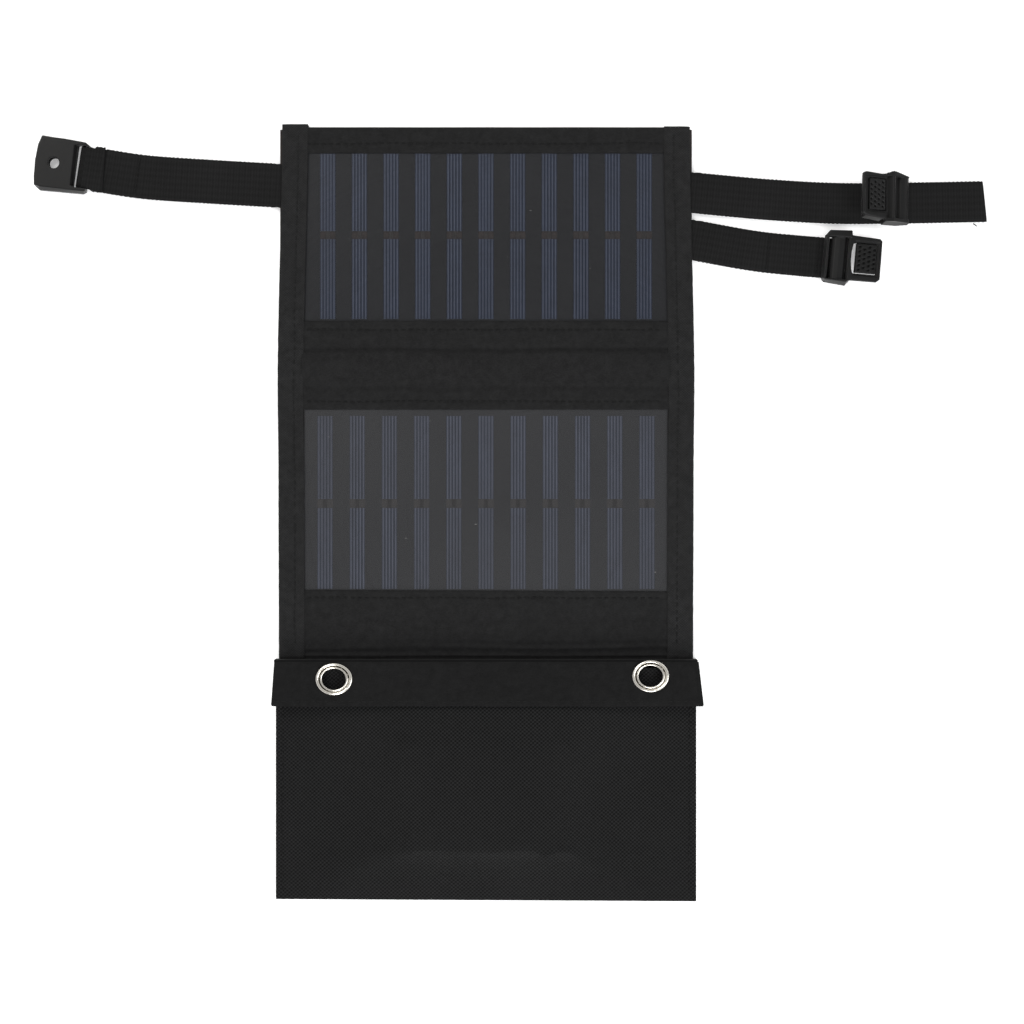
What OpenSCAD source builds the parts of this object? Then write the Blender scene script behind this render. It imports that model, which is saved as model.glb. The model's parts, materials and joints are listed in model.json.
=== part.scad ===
// Folding camping solar charger: two cell panels and a cable pocket joined by cloth folds,
// with webbing straps and clips. Unfolded, face up, +Y towards the far panel.
// Origin: centre of the middle panel's back face.

/* [Body] */
// Width of the two cell panels over their edge bindings
body_w = 166.4; // [150:0.4:180]
// Length of the middle panel
middle_l = 99.6; // [90:0.2:110]
// Length of the far panel
upper_l = 88; // [84:0.5:100]
// Width of the pocket
pocket_w = 168.4; // [160:0.4:182]
// Length of the pocket
pocket_l = 98; // [92:0.5:98]
// Width of the cloth fold between the panels
upper_fold = 14.2; // [14:0.1:18]
// Width of the cloth fold at the pocket
lower_fold = 9.8; // [9.8:0.1:12]
// Width of the edge binding tape
binding_w = 10.4; // [8:0.2:12]

/* [Cells] */
// Number of cell columns in each window
cell_columns = 11; // [6:1:11]
// Distance between neighbouring columns on the middle panel
cell_pitch = 12.88; // [9:0.02:12.9]
// The same distance on the far panel
far_cell_pitch = 12.66; // [9:0.02:12.9]
// Width of one cell strip
cell_w = 6.2; // [4:0.1:7.5]

/* [Flap] */
// Length of the flap over the pocket mouth
flap_l = 19.4; // [16:0.2:22]
// Bore radius of the eyelets
eyelet_r = 4.8; // [3:0.1:5]
// Distance between the two eyelets
eyelet_pitch = 126.6; // [100:0.2:130]

/* [Webbing] */
// Width of the webbing
web_w = 16.4; // [14:0.2:16.6]
// Thickness of the webbing
web_t = 1.2; // [1:0.05:1.2]
// Radius of the latch hole in the catch plate
latch_r = 2; // [1.5:0.1:2.5]

/* [Hidden] */
$fn = 48;

cloth = [0.15, 0.15, 0.16];
webbing = [0.13, 0.13, 0.14];
plastic = [0.17, 0.17, 0.18];
laminate = [0.21, 0.22, 0.23];
cell_blue = [0.27, 0.29, 0.38];
copper = [0.45, 0.32, 0.27];
nickel = [0.78, 0.75, 0.70];
steel = [0.62, 0.63, 0.65];

// Heights of the layers, from the floor up
back_t = 0.8;                  // back cloth
board_top = 2.4;               // stiff board
cell_top = 2.7;                // encapsulant and cells
film_top = 3.0;                // clear film
band_top = 3.6;                // hem bands
binding_t = 0.6;               // binding tape
binding_top = film_top + binding_t + 0.1;
fold_gap = 1.0;                // bare cloth either side of a fold line

// Places along the length
middle_y0 = -middle_l / 2;
middle_y1 = middle_l / 2;
upper_y0 = middle_y1 + upper_fold;
upper_y1 = upper_y0 + upper_l;
pocket_y1 = middle_y0 - lower_fold;
pocket_y0 = pocket_y1 - pocket_l;

half_w = body_w / 2;
window_half_w = half_w - binding_w - 0.6;
board_half_w = half_w - binding_t - 0.2;
band_half_w = half_w - binding_w - 0.2;

// Windows and cell rows: [y of the near edge, y of the far edge]
middle_window = [-33.2, 39.2];
middle_rows = [[-32.6, -0.2], [3.4, 36.6]];
upper_window = [74.6, 141.8];
upper_rows = [[75.4, 107.4], [110.6, 141.6]];
ribbon_w = 1.6;

// Flat lead between the panels and the charge box
lead_x = 20;
lead_w = 6;
lead_z = [0.9, 1.5];

// Pocket tray
mouth_top = 8.4;
tray_top = 11.2;
cloth_t = 0.8;
mouth_y = pocket_y1 - 8.4;
riser_top = 8.9;
tape_t = 0.8;
flap_z = mouth_top + 2 * tape_t;
flap_axis_y = pocket_y1 - 0.4;
eyelet_y = pocket_y1 - 8.5;
eyelet_mid_x = 2.4;
eyelet_flange_r = eyelet_r + 2.6;
eyelet_barrel_t = 0.5;
tape_half_l = 50;

// Charge box
box_w = 60;
box_l = 38;
box_y = -116;
box_wall = 1.2;
box_z = [0.8, 6.2, 9.6];
pcb_z = [3, 4.2];
usb_w = 13.2;
usb_h = 4.6;
usb_l = 14;
screw_r = 1.1;

// Straps: root point, direction of each stretch, and the length of the stretch by the bag
strap_z = 1.9;
hinge_out = 2.2;
web_edge_gap = 1.0;
bar_r = 0.6;
loop_r = bar_r + 0.1 + web_t;
loop_z = loop_r + 0.05;
tail_l = 18;
left_root = [-half_w, 128.9];
left_turns = [3.3, 6.4];
left_inner_l = 24;
left_outer_l = 53.6;
right_root = [half_w, 126.0];
right_turns = [-5.2, -0.8];
right_inner_l = 28;
right_outer_l = 86.4;
lower_root = [half_w, 107.0];
lower_turns = [-9.8, -5.2];
lower_inner_l = 25.2;
lower_outer_l = 31.6;

// Clip
clip_half_w = 10.8;
clip_inner = 8.8;
hood_r = [2.6, 3.5];
plate_z = [2.4, 4.0];
plate_x = [6.2, 16.6];
plate_half_w = 8.4;
pad_x = [7.6, 14.6];
pad_half_w = 5.2;
pad_slit = 0.5;
slider_bar_z = 3.2;
slider_tilt = 25;
slider_u = 50.2;

function cell_x(i, pitch) = (i - (cell_columns - 1) / 2) * pitch;

// A box from its two corners
module block(low, high) {
    translate(low) cube(high - low);
}

// A sheet across the width, between two y values and two heights
module sheet(half, y, z) {
    block([-half, y[0], z[0]], [half, y[1], z[1]]);
}

// A profile drawn in x and z, extruded to both sides of y = 0
module side_profile(half) {
    rotate([90, 0, 0]) linear_extrude(2 * half, center = true) children();
}

// ---- Panels ----

module panel_back(y) {
    color(cloth) sheet(window_half_w + 0.4, y, [0, back_t]);
}

// Stiff board with a groove for the lead and notches at the strap roots
module panel_board(y, lead_y, notches) {
    color([0.3, 0.3, 0.3]) difference() {
        sheet(board_half_w, y, [back_t, board_top]);
        block([lead_x - lead_w / 2 - 0.3, lead_y[0], back_t - 1],
              [lead_x + lead_w / 2 + 0.3, lead_y[1], lead_z[1] + 0.1]);
        for (n = notches) anchor_space(n, 0.2);
    }
}

module column_slots(rows, pitch, clear) {
    for (i = [0 : cell_columns - 1])
        block([cell_x(i, pitch) - cell_w / 2 - clear, rows[0][0] - clear, board_top - 1],
              [cell_x(i, pitch) + cell_w / 2 + clear, rows[1][1] + clear, film_top + 1]);
}

module panel_encapsulant(y, rows, pitch) {
    color(laminate) difference() {
        sheet(window_half_w + 0.5, y, [board_top, cell_top]);
        column_slots(rows, pitch, 0.05);
    }
}

module panel_cells(rows, pitch) {
    color(cell_blue) for (i = [0 : cell_columns - 1], r = rows)
        block([cell_x(i, pitch) - cell_w / 2, r[0], board_top], [cell_x(i, pitch) + cell_w / 2, r[1], cell_top]);
}

module panel_ribbons(rows, pitch) {
    color(copper) for (i = [0 : cell_columns - 1])
        block([cell_x(i, pitch) - ribbon_w / 2, rows[0][1], board_top],
              [cell_x(i, pitch) + ribbon_w / 2, rows[1][0], cell_top]);
}

module panel_film(y) {
    color([0.25, 0.26, 0.28, 0.5]) sheet(window_half_w + 0.5, y, [cell_top, film_top]);
}

module hem_band(y) {
    color(cloth) sheet(band_half_w, y, [film_top, band_top]);
}

// One U of tape folded over a side edge; s is -1 on the left and 1 on the right
module binding(s, half, y, width, top, slots = []) {
    color(cloth) difference() {
        mirror([s < 0 ? 1 : 0, 0, 0]) union() {
            block([half - width, y[0], 0], [half, y[1], binding_t]);
            block([half - binding_t, y[0], 0], [half, y[1], top]);
            block([half - width, y[0], top - binding_t - 0.1], [half, y[1], top]);
        }
        for (n = slots) anchor_space(n, 0.2);
    }
}

module both_bindings(half, y, width, top, left = [], right = []) {
    binding(-1, half, y, width, top, left);
    binding(1, half, y, width, top, right);
}

module flat_lead(y) {
    color([0.12, 0.12, 0.12])
        block([lead_x - lead_w / 2, y[0], lead_z[0]], [lead_x + lead_w / 2, y[1], lead_z[1]]);
}

middle_span = [middle_y0 + fold_gap, middle_y1 - fold_gap];
upper_span = [upper_y0 + fold_gap, upper_y1];
middle_lead_y = [middle_y0 - 1, middle_y1 + 1];
upper_lead_y = [upper_y0 - 1, upper_y0 + 24];

module middle_back() { panel_back(middle_span); }
module middle_board() { panel_board(middle_span, middle_lead_y, []); }
module middle_encapsulant() { panel_encapsulant(middle_span, middle_rows, cell_pitch); }
module middle_cells() { panel_cells(middle_rows, cell_pitch); }
module middle_ribbons() { panel_ribbons(middle_rows, cell_pitch); }
module middle_film() { panel_film(middle_span); }
module middle_top_band() { hem_band([middle_window[1], middle_span[1]]); }
module middle_bottom_band() { hem_band([middle_span[0], middle_window[0]]); }
module middle_bindings() { both_bindings(half_w, middle_span, binding_w, binding_top); }
module middle_lead() { flat_lead(middle_span); }

module upper_back() { panel_back(upper_span); }
module upper_board() { panel_board([upper_span[0], upper_y1 - 0.8], upper_lead_y, ["left", "right", "lower"]); }
module upper_encapsulant() { panel_encapsulant([upper_span[0], upper_y1 - 0.8], upper_rows, far_cell_pitch); }
module upper_cells() { panel_cells(upper_rows, far_cell_pitch); }
module upper_ribbons() { panel_ribbons(upper_rows, far_cell_pitch); }
module upper_film() { panel_film([upper_span[0], upper_y1 - 0.8]); }
module upper_bottom_band() { hem_band([upper_span[0], upper_window[0]]); }
module upper_bindings() {
    both_bindings(half_w, upper_span, binding_w, binding_top, ["left"], ["right", "lower"]);
}
module upper_lead() { flat_lead([upper_span[0], upper_lead_y[1] - 0.5]); }

// The far hem wraps round the end of the panel
module upper_top_band() {
    color(cloth) {
        sheet(band_half_w, [upper_window[1], upper_y1 + 0.4], [film_top, band_top]);
        sheet(band_half_w, [upper_y1, upper_y1 + 0.4], [0, film_top]);
    }
}

// ---- Cloth folds ----

module fold_back(y) { color(cloth) sheet(window_half_w + 0.4, y, [0, back_t]); }
module fold_front(y) { color(cloth) sheet(band_half_w, y, [2.9, band_top]); }

upper_fold_span = [middle_y1 + fold_gap, upper_y0 - fold_gap];
lower_fold_span = [pocket_y1 + fold_gap, middle_y0 - fold_gap];

module upper_fold_back() { fold_back(upper_fold_span); }
module upper_fold_front() { fold_front(upper_fold_span); }
module upper_fold_bindings() { both_bindings(half_w, upper_fold_span, binding_w, binding_top); }
module upper_fold_lead() { flat_lead(upper_fold_span); }
module lower_fold_back() { fold_back(lower_fold_span); }
module lower_fold_front() { fold_front(lower_fold_span); }
module lower_fold_bindings() { both_bindings(half_w, lower_fold_span, binding_w, binding_top); }
module lower_fold_lead() { flat_lead(lower_fold_span); }

// ---- Pocket ----

pocket_half_w = pocket_w / 2;
pocket_top_y = pocket_y1 - fold_gap;

module pocket_back() {
    color(cloth) sheet(pocket_half_w, [pocket_y0, pocket_top_y], [0, back_t]);
}

// Solid outline of the tray, inset by a wall thickness t
module tray_solid(t) {
    side = pocket_half_w - t;
    floor_z = back_t - (t > 0 ? 1 : 0);
    flat_y = mouth_y - 11;
    hull() {
        block([-side, pocket_y0 + t, floor_z], [side, flat_y, back_t + 0.8]);
        block([-side + 5, pocket_y0 + 6 + t, back_t], [side - 5, flat_y, mouth_top - t]);
        block([-side + 12, box_y - 24, back_t], [side - 12, box_y + 22, tray_top - t]);
        block([-side + 2, flat_y - 1, back_t], [side - 2, flat_y, mouth_top - t]);
    }
    hull() {
        block([-side, flat_y - 1, floor_z], [side, mouth_y - 4, back_t + 0.8]);
        block([-side + 2, flat_y - 1, back_t], [side - 2, mouth_y, mouth_top - t]);
    }
}

module pocket_front() {
    color([0.13, 0.13, 0.13]) difference() {
        tray_solid(0);
        tray_solid(cloth_t);
        block([-pocket_half_w + 3, mouth_y - 3, back_t - 1], [pocket_half_w - 3, mouth_y + 2, mouth_top - cloth_t]);
    }
}

// Upright cloth wall that carries the flap, joined to the tray's sides
module pocket_riser() {
    color(cloth) difference() {
        union() {
            block([-pocket_half_w, pocket_top_y - cloth_t, back_t], [pocket_half_w, pocket_top_y, riser_top]);
            for (s = [-1, 1])
                block([s * (pocket_half_w - cloth_t / 2) - cloth_t / 2, mouth_y + 0.1, back_t],
                      [s * (pocket_half_w - cloth_t / 2) + cloth_t / 2, pocket_top_y, mouth_top]);
        }
        block([lead_x - lead_w / 2 - 0.3, pocket_top_y - 2, back_t - 1],
              [lead_x + lead_w / 2 + 0.3, pocket_top_y + 1, lead_z[1] + 0.3]);
    }
}

module loop_tape() {
    color([0.12, 0.12, 0.12])
        block([eyelet_mid_x - tape_half_l, mouth_y - 10, mouth_top],
              [eyelet_mid_x + tape_half_l, mouth_y - 1, mouth_top + tape_t]);
}

module pocket_lead() {
    flat_lead([box_y + box_l / 2 + 3, pocket_top_y]);
}

// ---- Charge box ----

box_y0 = box_y - box_l / 2;
box_y1 = box_y + box_l / 2;
screw_spots = [for (x = [-1, 1], y = [-1, 1]) [x * (box_w / 2 - 4), box_y + y * (box_l / 2 - 4)]];

module box_rect(inset, z0, z1) {
    block([-box_w / 2 + inset, box_y0 + inset, z0], [box_w / 2 - inset, box_y1 - inset, z1]);
}

module usb_space(clear) {
    block([-usb_w / 2 - clear, box_y1 - usb_l, pcb_z[1] - clear],
          [usb_w / 2 + clear, box_y1 + 1, pcb_z[1] + usb_h + clear]);
}

module box_base() {
    color(plastic) difference() {
        union() {
            difference() {
                box_rect(0, box_z[0], box_z[1]);
                box_rect(box_wall, box_z[0] + box_wall, box_z[1] + 1);
            }
            for (p = screw_spots) translate([p[0], p[1], box_z[0]]) cylinder(r = 2.4, h = pcb_z[0] - box_z[0]);
        }
        for (p = screw_spots) translate([p[0], p[1], box_z[0] + 0.6]) cylinder(r = screw_r, h = 9);
        usb_space(0.15);
        block([lead_x - 4.2, box_y1 - 2, pcb_z[0] - 0.8], [lead_x + 4.2, box_y1 + 1, pcb_z[0] + 2.2]);
    }
}

module box_lid() {
    color(plastic) difference() {
        union() {
            difference() {
                box_rect(0, box_z[1], box_z[2]);
                box_rect(box_wall, box_z[1] - 1, box_z[2] - box_wall + 0.4);
            }
            for (p = screw_spots) translate([p[0], p[1], pcb_z[1]]) cylinder(r = 2.4, h = box_z[2] - pcb_z[1] - 0.4);
        }
        for (p = screw_spots) {
            translate([p[0], p[1], pcb_z[1] - 1]) cylinder(r = screw_r + 0.05, h = 9);
            translate([p[0], p[1], box_z[2] - 1.2]) cylinder(r = 2.1, h = 3);
        }
        usb_space(0.15);
        translate([20, box_y, box_z[2] - 4]) cylinder(r = 1.55, h = 6);
    }
}

module box_screws() {
    color(steel) for (p = screw_spots) translate([p[0], p[1], 0]) {
        translate([0, 0, box_z[0] + 0.6]) cylinder(r = screw_r, h = box_z[2] - box_z[0] - 1.4);
        difference() {
            translate([0, 0, box_z[2] - 1.2]) cylinder(r = 2, h = 1);
            translate([0, 0, box_z[2] - 0.7]) rotate(30) cube([2.8, 0.5, 1], center = true);
            translate([0, 0, box_z[2] - 0.7]) rotate(120) cube([2.8, 0.5, 1], center = true);
        }
    }
}

module circuit_board() {
    color([0.1, 0.3, 0.2]) difference() {
        box_rect(box_wall + 0.3, pcb_z[0], pcb_z[1]);
        for (p = screw_spots) translate([p[0], p[1], 0]) cylinder(r = screw_r + 0.15, h = 9);
    }
    color([0.12, 0.12, 0.12]) {
        block([-22, box_y - 8, pcb_z[1]], [-12, box_y + 2, pcb_z[1] + 3.4]);
        block([-4, box_y - 12, pcb_z[1]], [2, box_y - 6, pcb_z[1] + 1]);
        block([8, box_y - 12, pcb_z[1]], [14, box_y - 4, pcb_z[1] + 1.4]);
    }
}

module usb_shell() {
    color(steel) difference() {
        block([-usb_w / 2, box_y1 - usb_l, pcb_z[1]], [usb_w / 2, box_y1, pcb_z[1] + usb_h]);
        block([-usb_w / 2 + 0.3, box_y1 - usb_l + 0.8, pcb_z[1] + 0.3],
              [usb_w / 2 - 0.3, box_y1 + 1, pcb_z[1] + usb_h - 0.3]);
    }
}

module usb_tongue() {
    color([0.9, 0.9, 0.88])
        block([-5.4, box_y1 - usb_l + 0.8, pcb_z[1] + 2.9], [5.4, box_y1 - 1.2, pcb_z[1] + 4.1]);
    color([0.8, 0.65, 0.3]) for (i = [-1.5 : 1 : 1.5])
        block([i * 2.5 - 0.5, box_y1 - usb_l + 2, pcb_z[1] + 2.7], [i * 2.5 + 0.5, box_y1 - 2, pcb_z[1] + 2.9]);
}

module indicator() {
    color([0.5, 0.8, 0.5, 0.8]) translate([20, box_y, pcb_z[1]]) cylinder(r = 1.5, h = box_z[2] - pcb_z[1] - 0.1);
}

// Moulded gland: a collar in the box wall, then a taper down to the flat lead
module strain_relief() {
    color([0.1, 0.1, 0.1]) {
        block([lead_x - 4, box_y1 - box_wall, pcb_z[0]], [lead_x + 4, box_y1, pcb_z[0] + 2]);
        translate([lead_x - 4, 0, 0]) rotate([90, 0, 90]) linear_extrude(8) polygon([
            [box_y1, back_t], [box_y1, pcb_z[0] + 2], [box_y1 + 1, pcb_z[0] + 2],
            [box_y1 + 3, lead_z[1] + 0.6], [box_y1 + 3, back_t]]);
    }
}

// ---- Flap ----

module eyelet_spots() {
    for (s = [-1, 1]) translate([eyelet_mid_x + s * eyelet_pitch / 2, eyelet_y + s * 0.4, 0]) children();
}

module flap_cloth() {
    root_y = flap_axis_y - 0.4;
    end_y = pocket_y1 - flap_l;
    color(cloth) difference() {
        translate([0, 0, flap_z]) linear_extrude(cloth_t) polygon([
            [-83.8, root_y], [84.2, root_y], [86.2, end_y + 0.6], [85.6, end_y], [-85.4, end_y], [-86, end_y + 0.6]]);
        eyelet_spots() translate([0, 0, flap_z - 1]) cylinder(r = eyelet_r + eyelet_barrel_t + 0.1, h = 3);
    }
}

module hook_tape() {
    color([0.12, 0.12, 0.12])
        block([eyelet_mid_x - tape_half_l, mouth_y - 10, mouth_top + tape_t],
              [eyelet_mid_x + tape_half_l, mouth_y - 2, flap_z]);
}

// Rolled eyelet: a barrel with a domed flange that dips in a groove round the bore
module eyelets() {
    top = flap_z + cloth_t;
    color(nickel) eyelet_spots() rotate_extrude() union() {
        translate([eyelet_r, flap_z - 0.7]) square([eyelet_barrel_t, top - flap_z + 1.2]);
        difference() {
            translate([eyelet_r, top]) square([eyelet_flange_r - eyelet_r, 0.9]);
            translate([eyelet_r + 1.25, top + 1.05]) circle(r = 0.5, $fn = 24);
            translate([eyelet_flange_r, top + 0.5]) rotate(45) square([1, 0.4]);
        }
    }
}

module eyelet_washers() {
    color(nickel) eyelet_spots() translate([0, 0, flap_z - 0.6]) difference() {
        cylinder(r = eyelet_flange_r - 0.6, h = 0.6);
        translate([0, 0, -1]) cylinder(r = eyelet_r + eyelet_barrel_t + 0.05, h = 3);
    }
}

// ---- Straps ----

function strap_of(n) = n == "left" ? [left_root, left_turns, left_inner_l, -1]
    : n == "right" ? [right_root, right_turns, right_inner_l, 1] : [lower_root, lower_turns, lower_inner_l, 1];

// Puts children, drawn along +X from the root hinge, into place on one strap.
// On the left the frame is mirrored, so a heading there still rises away from the bag.
module strap_root_frame(n) {
    s = strap_of(n);
    translate([s[0][0], s[0][1], 0]) mirror([s[3] < 0 ? 1 : 0, 0, 0]) rotate(s[1][0])
        translate([hinge_out, 0, 0]) children();
}

module strap_outer_frame(n) {
    s = strap_of(n);
    strap_root_frame(n) translate([s[2], 0, 0]) rotate(s[1][1] - s[1][0]) children();
}

// Room for the sewn end of a strap inside the panel's edge
module anchor_space(n, clear) {
    strap_root_frame(n)
        block([-hinge_out - binding_w + 1.2 - clear, -web_w / 2 - clear, strap_z - web_t / 2 - clear],
              [0, web_w / 2 + clear, strap_z + web_t / 2 + clear]);
}

module strap_anchor(n) {
    color(webbing) strap_root_frame(n)
        block([-hinge_out - binding_w + 1.2, -web_w / 2, strap_z - web_t / 2],
              [-web_edge_gap, web_w / 2, strap_z + web_t / 2]);
}

module web_inner(n) {
    color(webbing) strap_root_frame(n)
        block([web_edge_gap, -web_w / 2, strap_z - web_t / 2],
              [strap_of(n)[2] - web_edge_gap, web_w / 2, strap_z + web_t / 2]);
}

// Webbing that runs out to a bar, round it and back under itself
module looped_web(n, reach) {
    low = strap_z - web_t / 2;
    throat = reach - 5;
    color(webbing) strap_outer_frame(n) difference() {
        union() {
            side_profile(web_w / 2)
                polygon([[web_edge_gap, low], [web_edge_gap, low + web_t], [throat, low + web_t],
                         [reach - 0.5, loop_z + loop_r - 0.08], [reach - 0.5, loop_z - loop_r + 0.08],
                         [throat, low - web_t], [throat - tail_l, low - web_t], [throat - tail_l, low]]);
            translate([reach, 0, loop_z]) rotate([90, 0, 0]) cylinder(r = loop_r, h = web_w, center = true);
        }
        translate([reach, 0, loop_z]) rotate([90, 0, 0]) cylinder(r = bar_r + 0.1, h = web_w + 2, center = true);
    }
}

module left_strap_anchor() { strap_anchor("left"); }
module left_web_inner() { web_inner("left"); }
module left_web_outer() { looped_web("left", left_outer_l); }
module right_strap_anchor() { strap_anchor("right"); }
module right_web_inner() { web_inner("right"); }
module right_web_outer() {
    color(webbing) strap_outer_frame("right") translate([0, 0, strap_z - web_t / 2]) linear_extrude(web_t)
        polygon([[web_edge_gap, -web_w / 2], [right_outer_l - 0.2, -web_w / 2], [right_outer_l + 0.2, 0],
                 [right_outer_l - 1.4, web_w / 2], [web_edge_gap, web_w / 2]]);
}
module lower_strap_anchor() { strap_anchor("lower"); }
module lower_web_inner() { web_inner("lower"); }
module lower_web_outer() { looped_web("lower", lower_outer_l); }

// ---- Catch plate: a flat socket with a latch hole, drawn from its web bar outwards ----

module catch_outline() {
    intersection() {
        union() {
            translate([-2.6, -10.3]) square([17, 20.6]);
            translate([-1.4, 0]) circle(r = 20.2, $fn = 96);
        }
        polygon([[-2.6, -9.9], [2, -10.4], [17.2, -10.4], [18.6, -8.6], [19.2, 0],
                 [18.6, 8.6], [17.2, 10.4], [2, 10.4], [-2.6, 9.9]]);
    }
}

module catch_plate() {
    color(plastic) strap_outer_frame("left") translate([left_outer_l, 0, loop_z]) difference() {
        translate([0, 0, -loop_r]) linear_extrude(4.9) catch_outline();
        block([-4, -clip_inner + 0.3, -5], [2.9, clip_inner - 0.3, 5]);
        block([6, -8.6, -0.6], [24, 8.6, 1.7]);
        translate([10.4, 0, -4]) cylinder(r = latch_r, h = 10);
    }
    color(plastic) strap_outer_frame("left") translate([left_outer_l, 0, loop_z])
        rotate([90, 0, 0]) cylinder(r = bar_r, h = 2 * clip_inner, center = true);
}

// ---- Clip: web bar, hood, rim and a tongue plate with a sprung pad, drawn from its bar ----

module hood_profile() {
    difference() {
        circle(r = hood_r[1]);
        circle(r = hood_r[0]);
        translate([-5, -10]) square([10, 11.7]);
        polygon([[0, 0], [-8, 0], [-8, 8], [-2.2, 8]]);
    }
}

module clip_body() {
    for (s = [-1, 1]) translate([0, s * (clip_inner + clip_half_w) / 2, 0])
        side_profile((clip_half_w - clip_inner) / 2)
            polygon([[-7, 3], [-6.4, 4.2], [4.4, 4.2], [5, 3.4], [5, 1.2], [3.6, -bar_r], [-1.4, -bar_r], [-3, 1.2]]);
    rotate([90, 0, 0]) cylinder(r = bar_r, h = 2 * clip_inner + 0.4, center = true);
    side_profile(clip_inner + 0.1) hood_profile();
    block([-7, -clip_inner - 0.1, 3], [-3.6, clip_inner + 0.1, 4.2]);
    block([2.6, -clip_inner - 0.1, 2.4], [5, clip_inner + 0.1, 3.8]);
    difference() {
        block([4.9, -plate_half_w, plate_z[0]], [plate_x[1], plate_half_w, plate_z[1]]);
        block([5, -6.2, plate_z[0] - 1], [plate_x[0], 6.2, plate_z[1] + 1]);
        block([pad_x[0] - 0.3, -pad_half_w - pad_slit, plate_z[0] - 1],
              [pad_x[1] + 0.3, pad_half_w + pad_slit, plate_z[1] + 1]);
    }
}

// Press pad: small raised points on top and a round latch stud below
module clip_pad() {
    block([pad_x[0], -pad_half_w, plate_z[0] + 0.3], [pad_x[1], pad_half_w, plate_z[1]]);
    for (i = [0 : 2], j = [-2 : 2])
        translate([pad_x[0] + 1.3 + i * 2.2, j * 2, plate_z[1]]) rotate(45) cylinder(r1 = 0.9, r2 = 0.3, h = 0.5, $fn = 4);
    translate([(pad_x[0] + pad_x[1]) / 2, 0, plate_z[0] - 0.9]) cylinder(r = latch_r - 0.1, h = 1.3);
}

module slider_frame() {
    strap_outer_frame("right") translate([slider_u, 0.3, slider_bar_z]) mirror([1, 0, 0])
        rotate([0, -slider_tilt, 0]) children();
}

module end_clip_frame() {
    strap_outer_frame("lower") translate([lower_outer_l, 0, loop_z]) children();
}

module slider_clip() { color(plastic) slider_frame() clip_body(); }
module slider_pad() { color(plastic) slider_frame() clip_pad(); }
module end_clip() { color(plastic) end_clip_frame() clip_body(); }
module end_pad() { color(plastic) end_clip_frame() clip_pad(); }

middle_back();
middle_board();
middle_encapsulant();
middle_cells();
middle_ribbons();
middle_film();
middle_top_band();
middle_bottom_band();
middle_bindings();
middle_lead();
upper_back();
upper_board();
upper_encapsulant();
upper_cells();
upper_ribbons();
upper_film();
upper_top_band();
upper_bottom_band();
upper_bindings();
upper_lead();
upper_fold_back();
upper_fold_front();
upper_fold_bindings();
upper_fold_lead();
lower_fold_back();
lower_fold_front();
lower_fold_bindings();
lower_fold_lead();
pocket_back();
pocket_front();
pocket_riser();
loop_tape();
pocket_lead();
box_base();
box_lid();
box_screws();
circuit_board();
usb_shell();
usb_tongue();
indicator();
strain_relief();
flap_cloth();
hook_tape();
eyelets();
eyelet_washers();
left_strap_anchor();
left_web_inner();
left_web_outer();
catch_plate();
right_strap_anchor();
right_web_inner();
right_web_outer();
slider_clip();
slider_pad();
lower_strap_anchor();
lower_web_inner();
lower_web_outer();
end_clip();
end_pad();
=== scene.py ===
import json
import math
import random

import bmesh
import bpy
import numpy as np
from mathutils import Matrix, Vector, noise


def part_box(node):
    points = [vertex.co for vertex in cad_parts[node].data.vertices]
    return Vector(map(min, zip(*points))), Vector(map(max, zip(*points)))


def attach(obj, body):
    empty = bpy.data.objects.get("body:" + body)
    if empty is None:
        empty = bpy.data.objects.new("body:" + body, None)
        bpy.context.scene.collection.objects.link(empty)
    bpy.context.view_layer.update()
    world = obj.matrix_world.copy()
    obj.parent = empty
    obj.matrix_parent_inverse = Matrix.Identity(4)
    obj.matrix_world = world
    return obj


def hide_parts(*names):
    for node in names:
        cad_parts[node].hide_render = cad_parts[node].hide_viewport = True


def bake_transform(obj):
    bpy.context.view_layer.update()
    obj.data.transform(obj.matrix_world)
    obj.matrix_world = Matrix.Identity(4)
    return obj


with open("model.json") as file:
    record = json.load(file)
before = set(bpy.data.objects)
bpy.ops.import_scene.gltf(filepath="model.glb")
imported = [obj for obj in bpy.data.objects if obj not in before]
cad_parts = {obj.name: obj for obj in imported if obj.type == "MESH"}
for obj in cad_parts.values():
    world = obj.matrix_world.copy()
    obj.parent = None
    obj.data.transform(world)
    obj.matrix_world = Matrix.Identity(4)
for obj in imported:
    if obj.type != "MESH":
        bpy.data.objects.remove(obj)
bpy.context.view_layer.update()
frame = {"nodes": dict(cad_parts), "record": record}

# Lengths below are in millimetres; meshes are scaled to metres when they are made.
MM = 0.001

JOINTS = {j["name"]: j for j in frame["record"]["behaviour"]["joints"]}


def pivot(joint):
    """Where a joint turns, in millimetres."""
    return Vector(JOINTS[joint]["pos_m"]) / MM


def span(node):
    """Lowest and highest corner of a CAD node, in millimetres."""
    low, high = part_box(node)
    return Vector(low) / MM, Vector(high) / MM


# ---------------------------------------------------------------- measures

UPPER_FOLD_FAR = pivot("upper_panel_turn").y
UPPER_FOLD_NEAR = pivot("upper_fold_turn").y
LOWER_FOLD_NEAR = pivot("lower_fold_turn").y
LOWER_FOLD_FAR = pivot("pocket_turn").y
UPPER_FOLD_MID = (UPPER_FOLD_FAR + UPPER_FOLD_NEAR) / 2
LOWER_FOLD_MID = (LOWER_FOLD_FAR + LOWER_FOLD_NEAR) / 2
PANEL_END = span("upper_bindings")[1].y
HALF_WIDTH = span("middle_bindings")[1].x
BAND_HALF = span("middle_top_band")[1].x
FILM_TOP = span("middle_film")[1].z
BAND_TOP = span("middle_top_band")[1].z
BINDING_WIDTH = HALF_WIDTH - BAND_HALF - 0.1
BINDING_TOP = span("middle_bindings")[1].z
UPPER_WINDOW = (span("upper_bottom_band")[1].y, span("upper_top_band")[0].y)
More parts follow.
